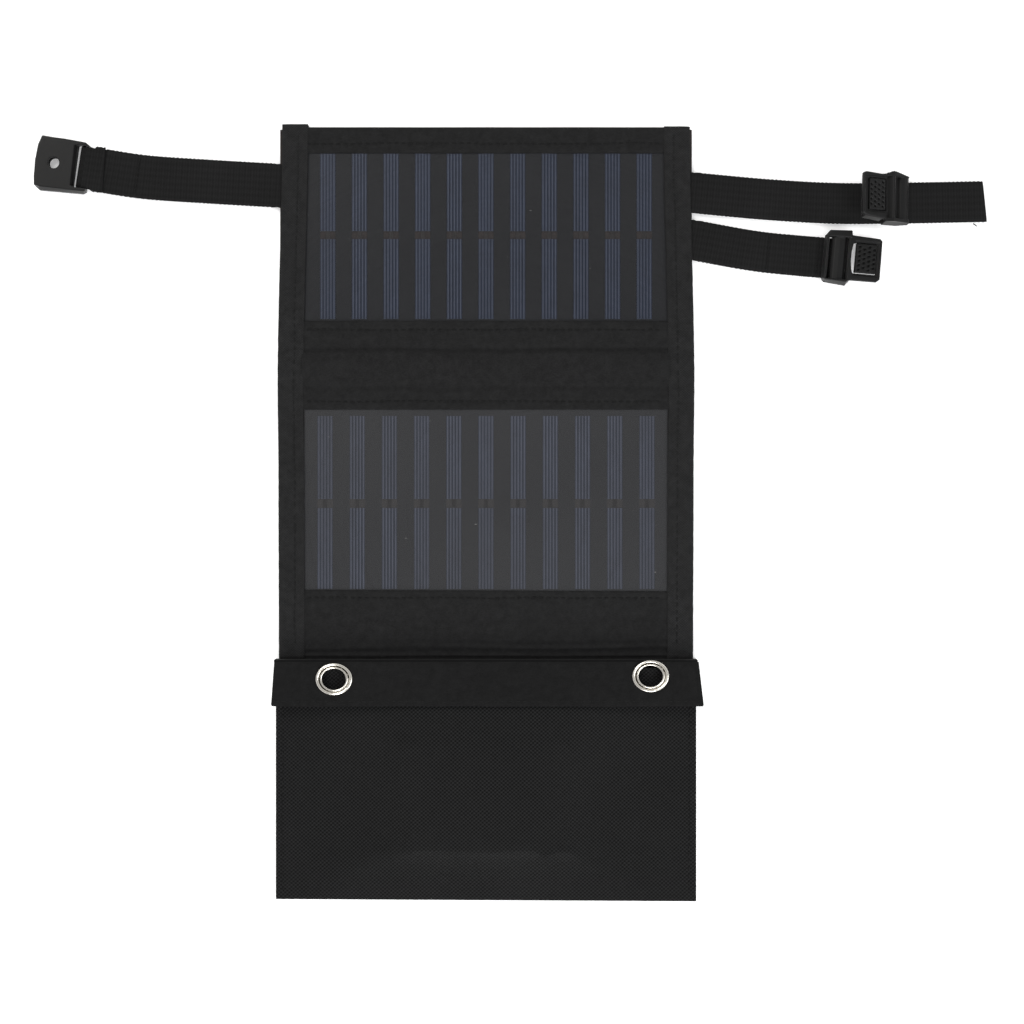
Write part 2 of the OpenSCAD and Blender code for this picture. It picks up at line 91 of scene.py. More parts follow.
MIDDLE_WINDOW = (span("middle_bottom_band")[1].y, span("middle_top_band")[0].y)
POCKET_LOW, POCKET_HIGH = span("pocket_back")
FLAP_LOW, FLAP_HIGH = span("flap_cloth")
TRAY_LOW, TRAY_HIGH = span("pocket_front")
BOX_LOW, BOX_HIGH = span("box_lid")
EYELET_LOW, EYELET_HIGH = span("eyelets")
CLOTH_T = 0.7
STITCH_LENGTH = 2.0
STITCH_PITCH = 2.9
THREAD_R = 0.24
CELL_W = 6.2
CELL_PITCH = (span("middle_cells")[1].x - span("middle_cells")[0].x - CELL_W) / 10
FAR_CELL_PITCH = (span("upper_cells")[1].x - span("upper_cells")[0].x - CELL_W) / 10
FINGER_PITCH = 1.24

# ---------------------------------------------------------------- shader graphs


class Graph:
    """A short way to write a material's nodes."""

    def __init__(self, name, coords):
        self.material = bpy.data.materials.new(name)
        self.material.use_nodes = True
        self.tree = self.material.node_tree
        self.bsdf = self.tree.nodes["Principled BSDF"]
        if coords == "object":
            self.place = self.new("ShaderNodeTexCoord").outputs["Object"]
        else:
            attribute = self.new("ShaderNodeAttribute")
            attribute.attribute_name = coords
            self.place = attribute.outputs["Vector"]
        split = self.new("ShaderNodeSeparateXYZ")
        self.wire(self.place, split.inputs[0])
        self.x, self.y, self.z = split.outputs

    def new(self, kind, **settings):
        made = self.tree.nodes.new(kind)
        for key, value in settings.items():
            setattr(made, key, value)
        return made

    def wire(self, value, socket):
        if isinstance(value, bpy.types.NodeSocket):
            self.tree.links.new(value, socket)
        else:
            socket.default_value = value

    def math(self, operation, a, b=0.0, c=0.0):
        made = self.new("ShaderNodeMath", operation=operation)
        for value, socket in zip((a, b, c), made.inputs):
            self.wire(value, socket)
        return made.outputs[0]

    def remap(self, value, low, high, to_low=0.0, to_high=1.0):
        made = self.new("ShaderNodeMapRange", interpolation_type="SMOOTHSTEP")
        for v, socket in zip((value, low, high, to_low, to_high), made.inputs):
            self.wire(v, socket)
        return made.outputs[0]

    def noise(self, scale, detail=3.0, rough=0.55, stretch=(1, 1, 1)):
        """Fractal noise between 0 and 1; scale is in features per metre."""
        mapping = self.new("ShaderNodeMapping")
        self.wire(self.place, mapping.inputs["Vector"])
        mapping.inputs["Scale"].default_value = stretch
        made = self.new("ShaderNodeTexNoise")
        self.wire(mapping.outputs[0], made.inputs["Vector"])
        made.inputs["Scale"].default_value = scale
        made.inputs["Detail"].default_value = detail
        made.inputs["Roughness"].default_value = rough
        return made.outputs["Fac"]

    def wave(self, value, pitch_mm, phase=0.0):
        """A sine of a coordinate, from -1 to 1."""
        turns = self.math("MULTIPLY_ADD", value, 2 * math.pi / (pitch_mm * MM), phase)
        return self.math("SINE", turns)

    def mix(self, factor, a, b):
        made = self.new("ShaderNodeMix", data_type="RGBA")
        self.wire(factor, made.inputs["Factor"])
        self.wire(rgba(a), made.inputs[6])
        self.wire(rgba(b), made.inputs[7])
        return made.outputs[2]

    def bump(self, height, distance_mm, strength=1.0, under=None):
        made = self.new("ShaderNodeBump")
        made.inputs["Strength"].default_value = strength
        made.inputs["Distance"].default_value = distance_mm * MM
        self.wire(height, made.inputs["Height"])
        if under is not None:
            self.wire(under, made.inputs["Normal"])
        return made.outputs[0]

    def finish(self, colour, rough, normal=None, **more):
        self.wire(rgba(colour), self.bsdf.inputs["Base Color"])
        self.wire(rough, self.bsdf.inputs["Roughness"])
        if normal is not None:
            self.wire(normal, self.bsdf.inputs["Normal"])
        for key, value in more.items():
            self.wire(value, self.bsdf.inputs[key.replace("_", " ")])
        return self.material


def rgba(colour):
    if isinstance(colour, tuple) and len(colour) == 3:
        return (*colour, 1.0)
    return colour


def grey(level, tint=(1.0, 1.0, 1.0)):
    return tuple(level * t for t in tint)


# ---------------------------------------------------------------- materials


def cloth_material(name, level, pitch_mm, dot=0.0, depth_mm=0.1, dark=0.4, light=1.8):
    """Plain-woven cloth: crossing threads, slubs, a little dust and soft wear."""
    g = Graph(name, "cloth")
    tint = (1, 1, 1.02)
    warp = g.wave(g.x, pitch_mm)
    weft = g.wave(g.y, 0.9 * pitch_mm)
    over = g.math("MULTIPLY", warp, weft)
    threads = g.math("MULTIPLY_ADD", over, 0.5, 0.5)
    slub = g.noise(900, 2, 0.6, (1, 6, 1))
    patch = g.noise(35, 3)
    fuzz = g.noise(2600, 2)
    mottle = g.noise(320, 4, 0.7)
    shade = g.math("MULTIPLY_ADD", slub, 0.5, g.math("MULTIPLY_ADD", patch, 0.2, g.math("MULTIPLY", mottle, 0.5)))
    shade = g.math("MULTIPLY_ADD", threads, dot, shade)
    shade = g.math("MULTIPLY_ADD", fuzz, 0.3, shade)
    colour = g.mix(g.remap(shade, 0.45, 1.05 + dot), grey(level * dark, tint), grey(level * light, tint))
    rough = g.remap(patch, 0.2, 0.8, 0.82, 0.95)
    under = g.bump(g.math("MULTIPLY_ADD", slub, 0.4, mottle), 0.25, 0.7)
    normal = g.bump(g.math("MULTIPLY_ADD", fuzz, 0.3, threads), depth_mm, 0.8, under)
    return g.finish(colour, rough, normal, Sheen_Weight=0.015, Specular_IOR_Level=0.12)


def webbing_material():
    """Narrow woven tape: ribs across, a herringbone along, and painted shade that makes it darker between the ribs."""
    g = Graph("webbing", "cloth")
    ribs = g.wave(g.x, 2.1)
    lanes = g.wave(g.y, 2.6)
    slant = g.math("MULTIPLY_ADD", g.math("ABSOLUTE", lanes), 1.3, 0.0)
    twill = g.math("SINE", g.math("ADD", g.math("MULTIPLY", g.x, 2 * math.pi / (1.15 * MM)), slant))
    height = g.math("MULTIPLY_ADD", twill, 0.12, g.math("MULTIPLY_ADD", ribs, 0.05, g.math("MULTIPLY_ADD", lanes, 0.08, 0.5)))
    fuzz = g.noise(2200, 3)
    patch = g.noise(45, 3)
    # The relief height also darkens the colour where it is low: painted shade between the ribs, on top of the weave
    # pattern.
    shade = g.math("MULTIPLY_ADD", fuzz, 0.5, g.math("MULTIPLY_ADD", patch, 0.4, height))
    colour = g.mix(g.remap(shade, 0.5, 1.5), grey(0.0011), grey(0.0075, (1, 1, 1.03)))
    rough = g.remap(fuzz, 0.3, 0.7, 0.7, 0.88)
    normal = g.bump(g.math("MULTIPLY_ADD", fuzz, 0.3, height), 0.1, 0.7)
    return g.finish(colour, rough, normal, Sheen_Weight=0.01, Specular_IOR_Level=0.15)


def thread_material():
    g = Graph("thread", "cloth")
    twist = g.wave(g.math("ADD", g.x, g.y), 0.5)
    colour = g.mix(g.remap(twist, -1, 1), grey(0.001), grey(0.004))
    return g.finish(colour, 0.7, g.bump(twist, 0.05, 0.7), Specular_IOR_Level=0.2)


def plastic_material(name, level, coords="object", grain=0.03):
    """Moulded plastic: fine spark-eroded grain, flow variation and a painted highlight that makes the convex edges
    paler.
    """
    g = Graph(name, coords)
    fine = g.noise(3500, 2)
    flow = g.noise(70, 3)
    scuff = g.noise(500, 4, 0.7, (1, 5, 1))
    bevel = g.new("ShaderNodeBevel", samples=4)
    bevel.inputs["Radius"].default_value = 0.25 * MM
    geometry = g.new("ShaderNodeNewGeometry")
    # Painted highlight: convex edges are lightened in colour to stand in for light catching the bevels.
    painted_edge_highlight = g.remap(geometry.outputs["Pointiness"], 0.52, 0.62)
    colour = g.mix(g.remap(flow, 0.3, 0.7), grey(level * 0.85), grey(level * 1.15, (1, 1, 1.03)))
    colour = g.mix(g.math("MULTIPLY", painted_edge_highlight, 0.5), colour, grey(level * 2.2))
    rough = g.math("MULTIPLY_ADD", scuff, 0.2, g.remap(flow, 0.2, 0.8, 0.3, 0.42))
    normal = g.bump(g.math("MULTIPLY_ADD", scuff, 0.3, fine), grain, 0.6, bevel.outputs[0])
    return g.finish(colour, rough, normal, Specular_IOR_Level=0.2, Sheen_Weight=0.12, Sheen_Roughness=0.3)


def metal_material(name, colour, rough):
    """Plated metal: faint turning marks, fingerprints and small dings."""
    g = Graph(name, "cloth" if name == "nickel" else "object")
    smear = g.noise(160, 4)
    grain = g.noise(1800, 3, 0.6, (1, 1, 4))
    dull = tuple(c * 0.72 for c in colour)
    tone = g.mix(g.remap(smear, 0.35, 0.75, 0.0, 0.45), colour, dull)
    roughness = g.math("MULTIPLY_ADD", smear, 0.14, rough)
    return g.finish(tone, roughness, g.bump(grain, 0.02, 0.3), Metallic=1.0)


def laminate_material(name, level, gloss):
    g = Graph(name, "object")
    grain = g.noise(1500, 3)
    patch = g.noise(22, 3)
    colour = g.mix(g.remap(patch, 0.3, 0.7), grey(level * 0.88, (1, 1.05, 1.25)), grey(level * 1.12, (1, 1.05, 1.2)))
    rough = g.remap(grain, 0.3, 0.7, 0.42, 0.55)
    return g.finish(colour, rough, g.bump(grain, 0.01, 0.3), Specular_IOR_Level=gloss)


def cell_material(name, pitch, gap, finger_tone):
    """A dark blue strip with five printed fingers along it and a crystal mottle; each strip has its own tone."""
    g = Graph(name, "object")
    column = g.math("MULTIPLY", g.x, 1 / (pitch * MM))
    index = g.math("ROUND", column)
    local = g.math("SUBTRACT", column, index)
    finger = g.math("MULTIPLY", local, pitch / FINGER_PITCH)
    tone = g.math("FRACT", g.math("MULTIPLY", g.math("SINE", g.math("MULTIPLY_ADD", index, 12.9, 4.0)), 43.7))
    off_line = g.math("ABSOLUTE", g.math("SUBTRACT", finger, g.math("ROUND", finger)))
    line = g.remap(off_line, 0.32, 0.14)
    mottle = g.noise(260, 4, 0.65, (1, 0.35, 1))
    blue = g.mix(g.remap(mottle, 0.3, 0.7), tuple(0.85 * c for c in gap), tuple(1.15 * c for c in gap))
    silver = g.mix(g.remap(mottle, 0.25, 0.75), tuple(0.88 * c for c in finger_tone), tuple(1.12 * c for c in finger_tone))
    colour = g.mix(line, blue, silver)
    colour = g.mix(g.math("MULTIPLY", tone, 0.3), colour, tuple(0.5 * (a + b) for a, b in zip(gap, finger_tone)))
    rough = g.remap(line, 0, 1, 0.3, 0.5)
    return g.finish(colour, rough, g.bump(line, 0.02, 0.4), Specular_IOR_Level=0.25)


def film_material(name, thin, thick):
    """The clear matt film over the cells, with a light haze and lint."""
    g = Graph(name, "object")
    haze = g.noise(9, 2)
    grain = g.noise(2400, 3)
    lint = g.remap(g.noise(420, 1, 0.4, (1, 3, 1)), 0.80, 0.84)
    colour = g.mix(lint, (0.05, 0.05, 0.052), (0.3, 0.3, 0.3))
    alpha = g.math("MULTIPLY_ADD", lint, 0.2, g.remap(haze, 0.2, 0.8, thin, thick))
    return g.finish(colour, g.remap(grain, 0.3, 0.7, 0.38, 0.5), g.bump(grain, 0.008, 0.3), Alpha=alpha, Specular_IOR_Level=0.4)


def simple_material(name, colour, rough, scale=600, **more):
    """Inside pieces: their colour with a fine mottle and grain."""
    g = Graph(name, "object")
    fine = g.noise(scale, 3)
    tone = g.mix(g.remap(fine, 0.3, 0.7), tuple(c * 0.8 for c in colour), tuple(c * 1.15 for c in colour))
    return g.finish(tone, rough, g.bump(fine, 0.03, 0.5), **more)


def pile_material():
    g = Graph("tape", "object")
    hooks = g.math("MULTIPLY", g.wave(g.x, 0.9), g.wave(g.y, 0.9))
    fuzz = g.noise(3000, 3)
    colour = g.mix(g.remap(hooks, -0.5, 1), grey(0.006), grey(0.03))
    return g.finish(colour, 0.9, g.bump(g.math("ADD", hooks, fuzz), 0.3, 1.0), Sheen_Weight=0.2)


MATERIALS = {
    "cloth": cloth_material("cloth", 0.0085, 0.62, dot=0.1),
    "binding": cloth_material("binding", 0.0098, 1.1, dot=0.35, depth_mm=0.16, dark=0.15, light=2.2),
    "flap_cloth": cloth_material("flap_cloth", 0.0048, 0.62, dot=0.1),
    "pocket_cloth": cloth_material("pocket_cloth", 0.0052, 1.667, dot=2.2, depth_mm=0.3, dark=0.0, light=2.6),
    "webbing": webbing_material(),
    "thread": thread_material(),
    "tape": pile_material(),
    "nickel": metal_material("nickel", (0.72, 0.69, 0.63), 0.14),
    "steel": metal_material("steel", (0.6, 0.6, 0.62), 0.28),
    "laminate": laminate_material("laminate", 0.0165, 0.25),
    # Painted shade: the upper panel's laminate, cells and film below are darker copies of the middle panel's.
    "far_laminate_shaded": laminate_material("far_laminate_shaded", 0.009, 0.16),
    "cell": cell_material("cell", CELL_PITCH, (0.015, 0.020, 0.038), (0.086, 0.098, 0.138)),
    "far_cell_shaded": cell_material("far_cell_shaded", FAR_CELL_PITCH, (0.0045, 0.0078, 0.019), (0.034, 0.041, 0.062)),
    "film": film_material("film", 0.26, 0.36),
    "far_film_shaded": film_material("far_film_shaded", 0.05, 0.11),
    "ribbon": simple_material("ribbon", (0.013, 0.011, 0.011), 0.5, Specular_IOR_Level=0.25),
    "board": simple_material("board", (0.018, 0.014, 0.0135), 0.8, Specular_IOR_Level=0.2),
    "lead": simple_material("lead", (0.012, 0.012, 0.012), 0.5),
    "circuit": simple_material("circuit", (0.02, 0.09, 0.045), 0.35, 300),
    "contact_block": simple_material("contact_block", (0.7, 0.7, 0.67), 0.4),
    "lens": simple_material("lens", (0.4, 0.7, 0.4), 0.2, 80, Alpha=0.6),
    "box_plastic": plastic_material("box_plastic", 0.02, grain=0.06),
    "clip_plastic": plastic_material("clip_plastic", 0.003),
}


def dress_cad_nodes():
    """Gives every CAD node the finish of its slot; the upper panel's cells, film and laminate take darker copies
    instead, which is painted shade.
    """
    for row in frame["record"]["subparts"]:
        node = frame["nodes"][row["node"]]
        node.data.materials.clear()
        # Painted shade: the upper panel's nodes take darker copies of their slots' materials.
        slot = {"upper_cells": "far_cell_shaded", "upper_film": "far_film_shaded", "upper_encapsulant": "far_laminate_shaded"}.get(row["node"], row["material_slot"])
        node.data.materials.append(MATERIALS[slot])


# ---------------------------------------------------------------- mesh tools


class Shape:
    """Points and faces of one piece, in millimetres, with a cloth coordinate at each point."""

    def __init__(self):
        self.points, self.cloth, self.faces, self.slots = [], [], [], []

    def add(self, points, faces, cloth=None, slot=0):
        start = len(self.points)
        self.points += [tuple(p) for p in points]
        self.cloth += [tuple(c) for c in (cloth if cloth is not None else points)]
        self.faces += [tuple(start + i for i in f) for f in faces]
        self.slots += [slot] * len(faces)

    def rings(self, rings, cloth=None, closed=True, capped=True, slot=0):
        """Joins rings of points, each with the same number of points."""
        n = len(rings[0])
        faces = []
        wrap = n if closed else n - 1
        for r in range(len(rings) - 1):
            for i in range(wrap):
                j = (i + 1) % n
                faces.append((r * n + i, r * n + j, (r + 1) * n + j, (r + 1) * n + i))
        if capped and closed:
            faces.append(tuple(reversed(range(n))))
            last = (len(rings) - 1) * n
            faces.append(tuple(last + i for i in range(n)))
        flat = [p for ring in rings for p in ring]
        self.add(flat, faces, [c for ring in cloth for c in ring] if cloth else None, slot)

    def sheet(self, top, thickness, keep=None, slot=0, cloth=None):
        """A closed thin sheet under a grid of points; keep says which cells of the grid stay."""
        rows, cols = len(top), len(top[0])
        upper = [Vector(p) for row in top for p in row]
        lower = [Vector(p) - offset for p, offset in zip(upper, sheet_offsets(top, thickness))]
        count = rows * cols
        faces, edges = [], {}
        for r in range(rows - 1):
            for c in range(cols - 1):
                if keep and not keep(r, c):
                    continue
                a, b = r * cols + c, r * cols + c + 1
                quad = (a, b, b + cols, a + cols)
                faces.append(quad)
                for i in range(4):
                    e = (quad[i], quad[(i + 1) % 4])
                    if (e[1], e[0]) in edges:
                        del edges[(e[1], e[0])]
                    else:
                        edges[e] = True
        faces += [tuple(count + i for i in reversed(f)) for f in faces]
        faces += [(b, a, count + a, count + b) for a, b in edges]
        used = sorted({i for f in faces for i in f})
        index = {old: new for new, old in enumerate(used)}
        points = upper + lower
        where = [cloth[i % count] for i in used] if cloth else [points[i % count] for i in used]
        self.add([points[i] for i in used], [tuple(index[i] for i in f) for f in faces], where, slot)

    def stitch(self, a, b, slot=1):
        """One stitch: a short thread that dives into the cloth at both ends."""
        a, b = Vector(a), Vector(b)
        along = (b - a).normalized()
        side = along.cross(Vector((0, 0, 1))).normalized()
        up = side.cross(along)
        rings = []
        for t, lift, size in ((0, -0.22, 0.5), (0.12, 0.02, 0.9), (0.5, 0.1, 1.0), (0.88, 0.02, 0.9), (1, -0.22, 0.5)):
            centre = a.lerp(b, t) + up * lift
            ring = [centre + (side * math.cos(k * math.pi / 3) + up * math.sin(k * math.pi / 3)) * THREAD_R * size
                    for k in range(6)]
            rings.append(ring)
        self.rings(rings, slot=slot)

    def seam(self, start, end, height, drift=0.0, seed=1):
        """A row of stitches between two places; height gives the cloth's z at a point."""
        start, end = Vector(start), Vector(end)
        length = (end - start).length
        along = (end - start).normalized()
        side = Vector((-along.y, along.x))
        for k in range(int(length / STITCH_PITCH)):
            s = k * STITCH_PITCH + 0.4
            offset = side * drift * noise.noise(Vector((s * 0.05, seed, 0)))
            p, q = start + along * s + offset, start + along * (s + STITCH_LENGTH) + offset
            self.stitch((p.x, p.y, height(p.x, p.y)), (q.x, q.y, height(q.x, q.y)))

    def make(self, name, *materials):
        mesh = bpy.data.meshes.new(name)
        mesh.from_pydata([Vector(p) * MM for p in self.points], [], self.faces)
        attribute = mesh.attributes.new("cloth", "FLOAT_VECTOR", "POINT")
        attribute.data.foreach_set("vector", np.array(self.cloth, np.float32).ravel() * MM)
        for m in materials:
            mesh.materials.append(MATERIALS[m])
        mesh.polygons.foreach_set("material_index", self.slots)
        mesh.polygons.foreach_set("use_smooth", [True] * len(mesh.polygons))
        mesh.update()
        mesh.set_sharp_from_angle(angle=math.radians(50))
        piece = bpy.data.objects.new(name, mesh)
        bpy.context.scene.collection.objects.link(piece)
        return piece


def sheet_offsets(top, thickness):
    """From each point of a grid to the sheet's other face."""
    grid = np.array([[tuple(p) for p in row] for row in top])
    across = np.gradient(grid, axis=1)
    down = np.gradient(grid, axis=0)
    normal = np.cross(across, down)
    normal /= np.linalg.norm(normal, axis=2, keepdims=True) + 1e-12
    normal *= np.sign(normal[..., 2:3] + 1e-9)
    return [Vector(n * thickness) for row in normal for n in row]


def steps(a, b, size):
    return np.linspace(a, b, max(2, int(round(abs(b - a) / size)) + 1))


def ease(a, b, t):
    """0 before a, 1 after b, smooth between."""
    u = min(1.0, max(0.0, (t - a) / (b - a)))
    return u * u * (3 - 2 * u)


def bump_at(t, centre, width):
    return math.exp(-(((t - centre) / width) ** 2))


def ripple(x, y, size, seed):
    return noise.noise(Vector((x / size, y / size, seed)))


def blend_over(piece, joint):
    """Reads a fold line that runs along X and bakes the piece's placement into its mesh; the piece is not bent."""
    y, z = pivot(joint).y, pivot(joint).z
    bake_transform(piece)


# ---------------------------------------------------------------- cloth heights

CREASES = [(UPPER_FOLD_FAR - 0.6, 1.1, 0.9), (UPPER_FOLD_NEAR - 1.5, 0.5, 1.2),
           (LOWER_FOLD_NEAR + 4.8, 0.35, 1.0), (LOWER_FOLD_FAR + 1.6, 0.8, 0.7), (LOWER_FOLD_FAR - 1.1, 1.3, 0.9)]


def edge_half(y):
    """Half width over the bindings: it swells a little at the fold between the panels."""
    swell = 0.35 * bump_at(y, UPPER_FOLD_NEAR, 22)
    narrow = 1.5 * ease(UPPER_FOLD_FAR, PANEL_END, y) + 0.15 * ease(0, LOWER_FOLD_NEAR, y)
    return HALF_WIDTH - 0.1 + swell - narrow


def front_height(x, y):
    """Top of the front cloth between and beside the windows."""
    z = BAND_TOP
    for centre, depth, width in CREASES:
        wander = 0.5 * ripple(x, 0, 30, centre)
        z -= depth * bump_at(y + wander, centre, width)
    z += 0.9 * bump_at(y, UPPER_FOLD_MID, 5.0)
    folded_flat = 0.35 + 0.65 * ease(LOWER_FOLD_NEAR + 2, 0, y)
    z += folded_flat * (0.22 * ripple(x, y * 3.5, 16, 3) + 0.1 * ripple(x, y * 2, 5, 7))
    loose = bump_at(y, LOWER_FOLD_FAR + 3.0, 3.4) * (0.55 + 0.45 * x / HALF_WIDTH)
    z += 0.6 * loose * (math.sin(y * 1.9 + 0.9 * math.sin(x * 0.06) + 0.8) - 0.6)
    return max(z, FILM_TOP - 0.1)


def binding_height(x, y, side):
    """Top of the side tape."""
    inner = edge_half(y) - BINDING_WIDTH
    t = (abs(x) - inner) / BINDING_WIDTH
    z = BINDING_TOP + 0.28 - 0.55 * ease(0.8, 1.0, t)
    z += 0.14 * ripple(x, y, 9, 11 * side) + 0.06 * ripple(x, y, 2.5, side)
    for centre, depth, width in CREASES:
        z -= 0.45 * depth * bump_at(y, centre, width)
    z -= 0.12 * bump_at(t, 0.37, 0.08) + 0.13 * bump_at(t, 0.84, 0.03)
    return z


# ---------------------------------------------------------------- bindings


def binding_ring(y, side):
    """One slice of the U of tape at a side edge."""
    outer = edge_half(y) + 0.1 * ripple(0, y, 3, side * 5)
    inner = outer - BINDING_WIDTH
    ring = []
    for t in (0.0, 0.02, 0.12, 0.24, 0.32, 0.37, 0.42, 0.52, 0.66, 0.78, 0.81, 0.84, 0.87, 0.92, 0.97):
        x = inner + t * BINDING_WIDTH
        drop = 0.25 if t == 0.0 else 0.0
        ring.append((side * x, y, binding_height(side * x, y, side) - drop))
    top = binding_height(side * outer, y, side)
    for k in range(1, 6):
        a = math.pi * k / 6
        ring.append((side * (outer + 0.25 * math.sin(a) - 0.25), y, top * (0.5 + 0.5 * math.cos(a))))
    for t in (0.92, 0.7, 0.45, 0.2, 0.0):
        ring.append((side * (inner + t * BINDING_WIDTH), y, 0.02))
    for t in (0.0, 0.2, 0.45, 0.7, 0.9):
        ring.append((side * (inner + t * BINDING_WIDTH), y, 0.62))
    ring.append((side * (outer - 0.75), y, 1.2))
    ring.append((side * (outer - 0.75), y, top - 1.3))
    for t in (0.9, 0.7, 0.45, 0.2, 0.0):
        x = side * (inner + t * BINDING_WIDTH)
        ring.append((x, y, binding_height(x, y, side) - 0.66))
    return ring if side > 0 else list(reversed(ring))


def binding_piece(name, side, y0, y1, joint, nodes):
    shape = Shape()
    places = list(steps(y0, y1, 0.9))
    rings = [binding_ring(y, side) for y in places]
    shape.rings(rings)

    def seam_x(y, t):
        return side * (edge_half(y) - BINDING_WIDTH + t * BINDING_WIDTH)

    first, last = min(y0, y1) + 0.3, max(y0, y1) - 0.3
    for t in (0.37,):
        count = int((last - first) / STITCH_PITCH)
        for k in range(count):
            ya, yb = first + k * STITCH_PITCH, first + k * STITCH_PITCH + STITCH_LENGTH
            xa = seam_x(ya, t) + 0.35 * ripple(0, ya, 18, side)
            xb = seam_x(yb, t) + 0.35 * ripple(0, yb, 18, side)
            shape.stitch((xa, ya, binding_height(xa, ya, side) + 0.02), (xb, yb, binding_height(xb, yb, side) + 0.02))
    piece = shape.make(name, "binding", "thread")
    if joint:
        blend_over(piece, joint)
    if nodes:
        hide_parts(*nodes)
    return piece


def make_bindings():
    mid = 0.0
    for side, word in ((-1, "left"), (1, "right")):
        end = PANEL_END + (1.2 if side < 0 else 0.3)
        binding_piece(f"{word}_binding_far", side, end, UPPER_FOLD_MID, "upper_panel_turn",
                      ["upper_bindings"] if side < 0 else [])
        binding_piece(f"{word}_binding_upper", side, UPPER_FOLD_MID, mid, "upper_fold_turn",
                      ["upper_fold_bindings"] if side < 0 else [])
        binding_piece(f"{word}_binding_lower", side, mid, LOWER_FOLD_MID, "lower_fold_turn",
                      ["middle_bindings"] if side < 0 else [])
        binding_piece(f"{word}_binding_near", side, LOWER_FOLD_MID, LOWER_FOLD_FAR - 1.0, "pocket_turn",
                      ["lower_fold_bindings"] if side < 0 else [])


# ---------------------------------------------------------------- front and back cloth


def front_piece(name, y0, y1, joint, seams, nodes, turned_edges=(), slant=0.0):
    """A strip of front cloth across the width, with its rows of stitches."""
    shape = Shape()
    xs = steps(-BAND_HALF - 1.0, BAND_HALF + 1.0, 1.6)
    ys = steps(y0, y1, 0.55)

    def height(x, y):
        z = front_height(x, y)
        for edge in turned_edges:
            z -= 0.35 * bump_at(y, edge, 0.35)
        for s in seams:
            z -= 0.16 * bump_at(y, s, 0.5)
        return z

    top = [[(x, y + slant * x / BAND_HALF * ease(4, 0, abs(y - y0)), height(x, y)) for x in xs] for y in ys]
    shape.sheet(top, CLOTH_T - 0.1)
    for s in seams:
        shape.seam((-BAND_HALF + 0.5, s), (BAND_HALF - 0.5, s), lambda x, y: height(x, y) + 0.04, 0.5, s)
    piece = shape.make(name, "cloth", "thread")
    if joint:
        blend_over(piece, joint)
    else:
        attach(piece, "upper_panel")
    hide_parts(*nodes)
    return piece


def make_front_cloth():
    front_piece("hem_far", UPPER_WINDOW[1], PANEL_END, None, [PANEL_END - 6.6], ["upper_top_band"],
                [UPPER_WINDOW[1]])
    front_piece("front_fold_far", UPPER_WINDOW[0], UPPER_FOLD_MID, "upper_panel_turn",
                [UPPER_WINDOW[0] - 3.6], ["upper_bottom_band", "upper_fold_front"], [UPPER_WINDOW[0]])
    front_piece("front_fold_near", UPPER_FOLD_MID, MIDDLE_WINDOW[1], "upper_fold_turn",
                [MIDDLE_WINDOW[1] + 3.2], ["middle_top_band"], [MIDDLE_WINDOW[1]])
    front_piece("front_low_far", MIDDLE_WINDOW[0], LOWER_FOLD_MID, "lower_fold_turn",
                [MIDDLE_WINDOW[0] - 3.0], ["middle_bottom_band", "lower_fold_front"], [MIDDLE_WINDOW[0]],
                slant=-0.3)
    front_piece("front_low_near", LOWER_FOLD_MID, LOWER_FOLD_FAR - 1.8, "pocket_turn", [], [])


def back_height(x, y):
    return CLOTH_T + 0.04 + 0.03 * ripple(x, y, 14, 21)


def back_piece(name, y0, y1, joint, nodes):
    shape = Shape()
    half = span("middle_back")[1].x
    us = np.linspace(-1, 1, 52)
    ys = steps(y0, y1, 1.2)
    rows = [(y, min(half, edge_half(y) - 0.9)) for y in ys]
    shape.sheet([[(u * w, y, back_height(u * w, y)) for u in us] for y, w in rows], CLOTH_T)
    piece = shape.make(name, "cloth")
    blend_over(piece, joint)
    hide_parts(*nodes)
    return piece


def make_back_cloth():
    back_piece("back_far", PANEL_END, UPPER_FOLD_MID, "upper_panel_turn", ["upper_back"])
    back_piece("back_upper", UPPER_FOLD_MID, 0, "upper_fold_turn", ["upper_fold_back"])
    back_piece("back_lower", 0, LOWER_FOLD_MID, "lower_fold_turn", ["middle_back"])
    back_piece("back_near", LOWER_FOLD_MID, LOWER_FOLD_FAR - 1.0, "pocket_turn", ["lower_fold_back"])


# ---------------------------------------------------------------- pocket

POCKET_END = POCKET_LOW.y
MOUTH_Y = TRAY_HIGH.y
POCKET_HALF = POCKET_HIGH.x
SEAM_IN = 2.6
UNDER_FLAP = 4.2


def pocket_y(x, y):
    """The pocket's lower edge runs a little askew."""
    return y + (0.35 - 0.45 * x / POCKET_HALF) * ease(0, 1, (MOUTH_Y - y) / (MOUTH_Y - POCKET_END))


def pocket_drape(x, y):
    """The cloth's height before it settles: sewn down at three sides, open at the mouth."""
    side = ease(POCKET_HALF - SEAM_IN, POCKET_HALF - 14, abs(x))
    end = ease(POCKET_END + SEAM_IN, POCKET_END + 16, y)
    mouth = ease(MOUTH_Y - 16, MOUTH_Y - 2, y)
    crown = (TRAY_HIGH.z - 1.1) * (1 - mouth) + (span("loop_tape")[0].z - 0.25) * mouth
    return 1.5 + (crown - 1.5) * min(side, 1) * min(end, 1)


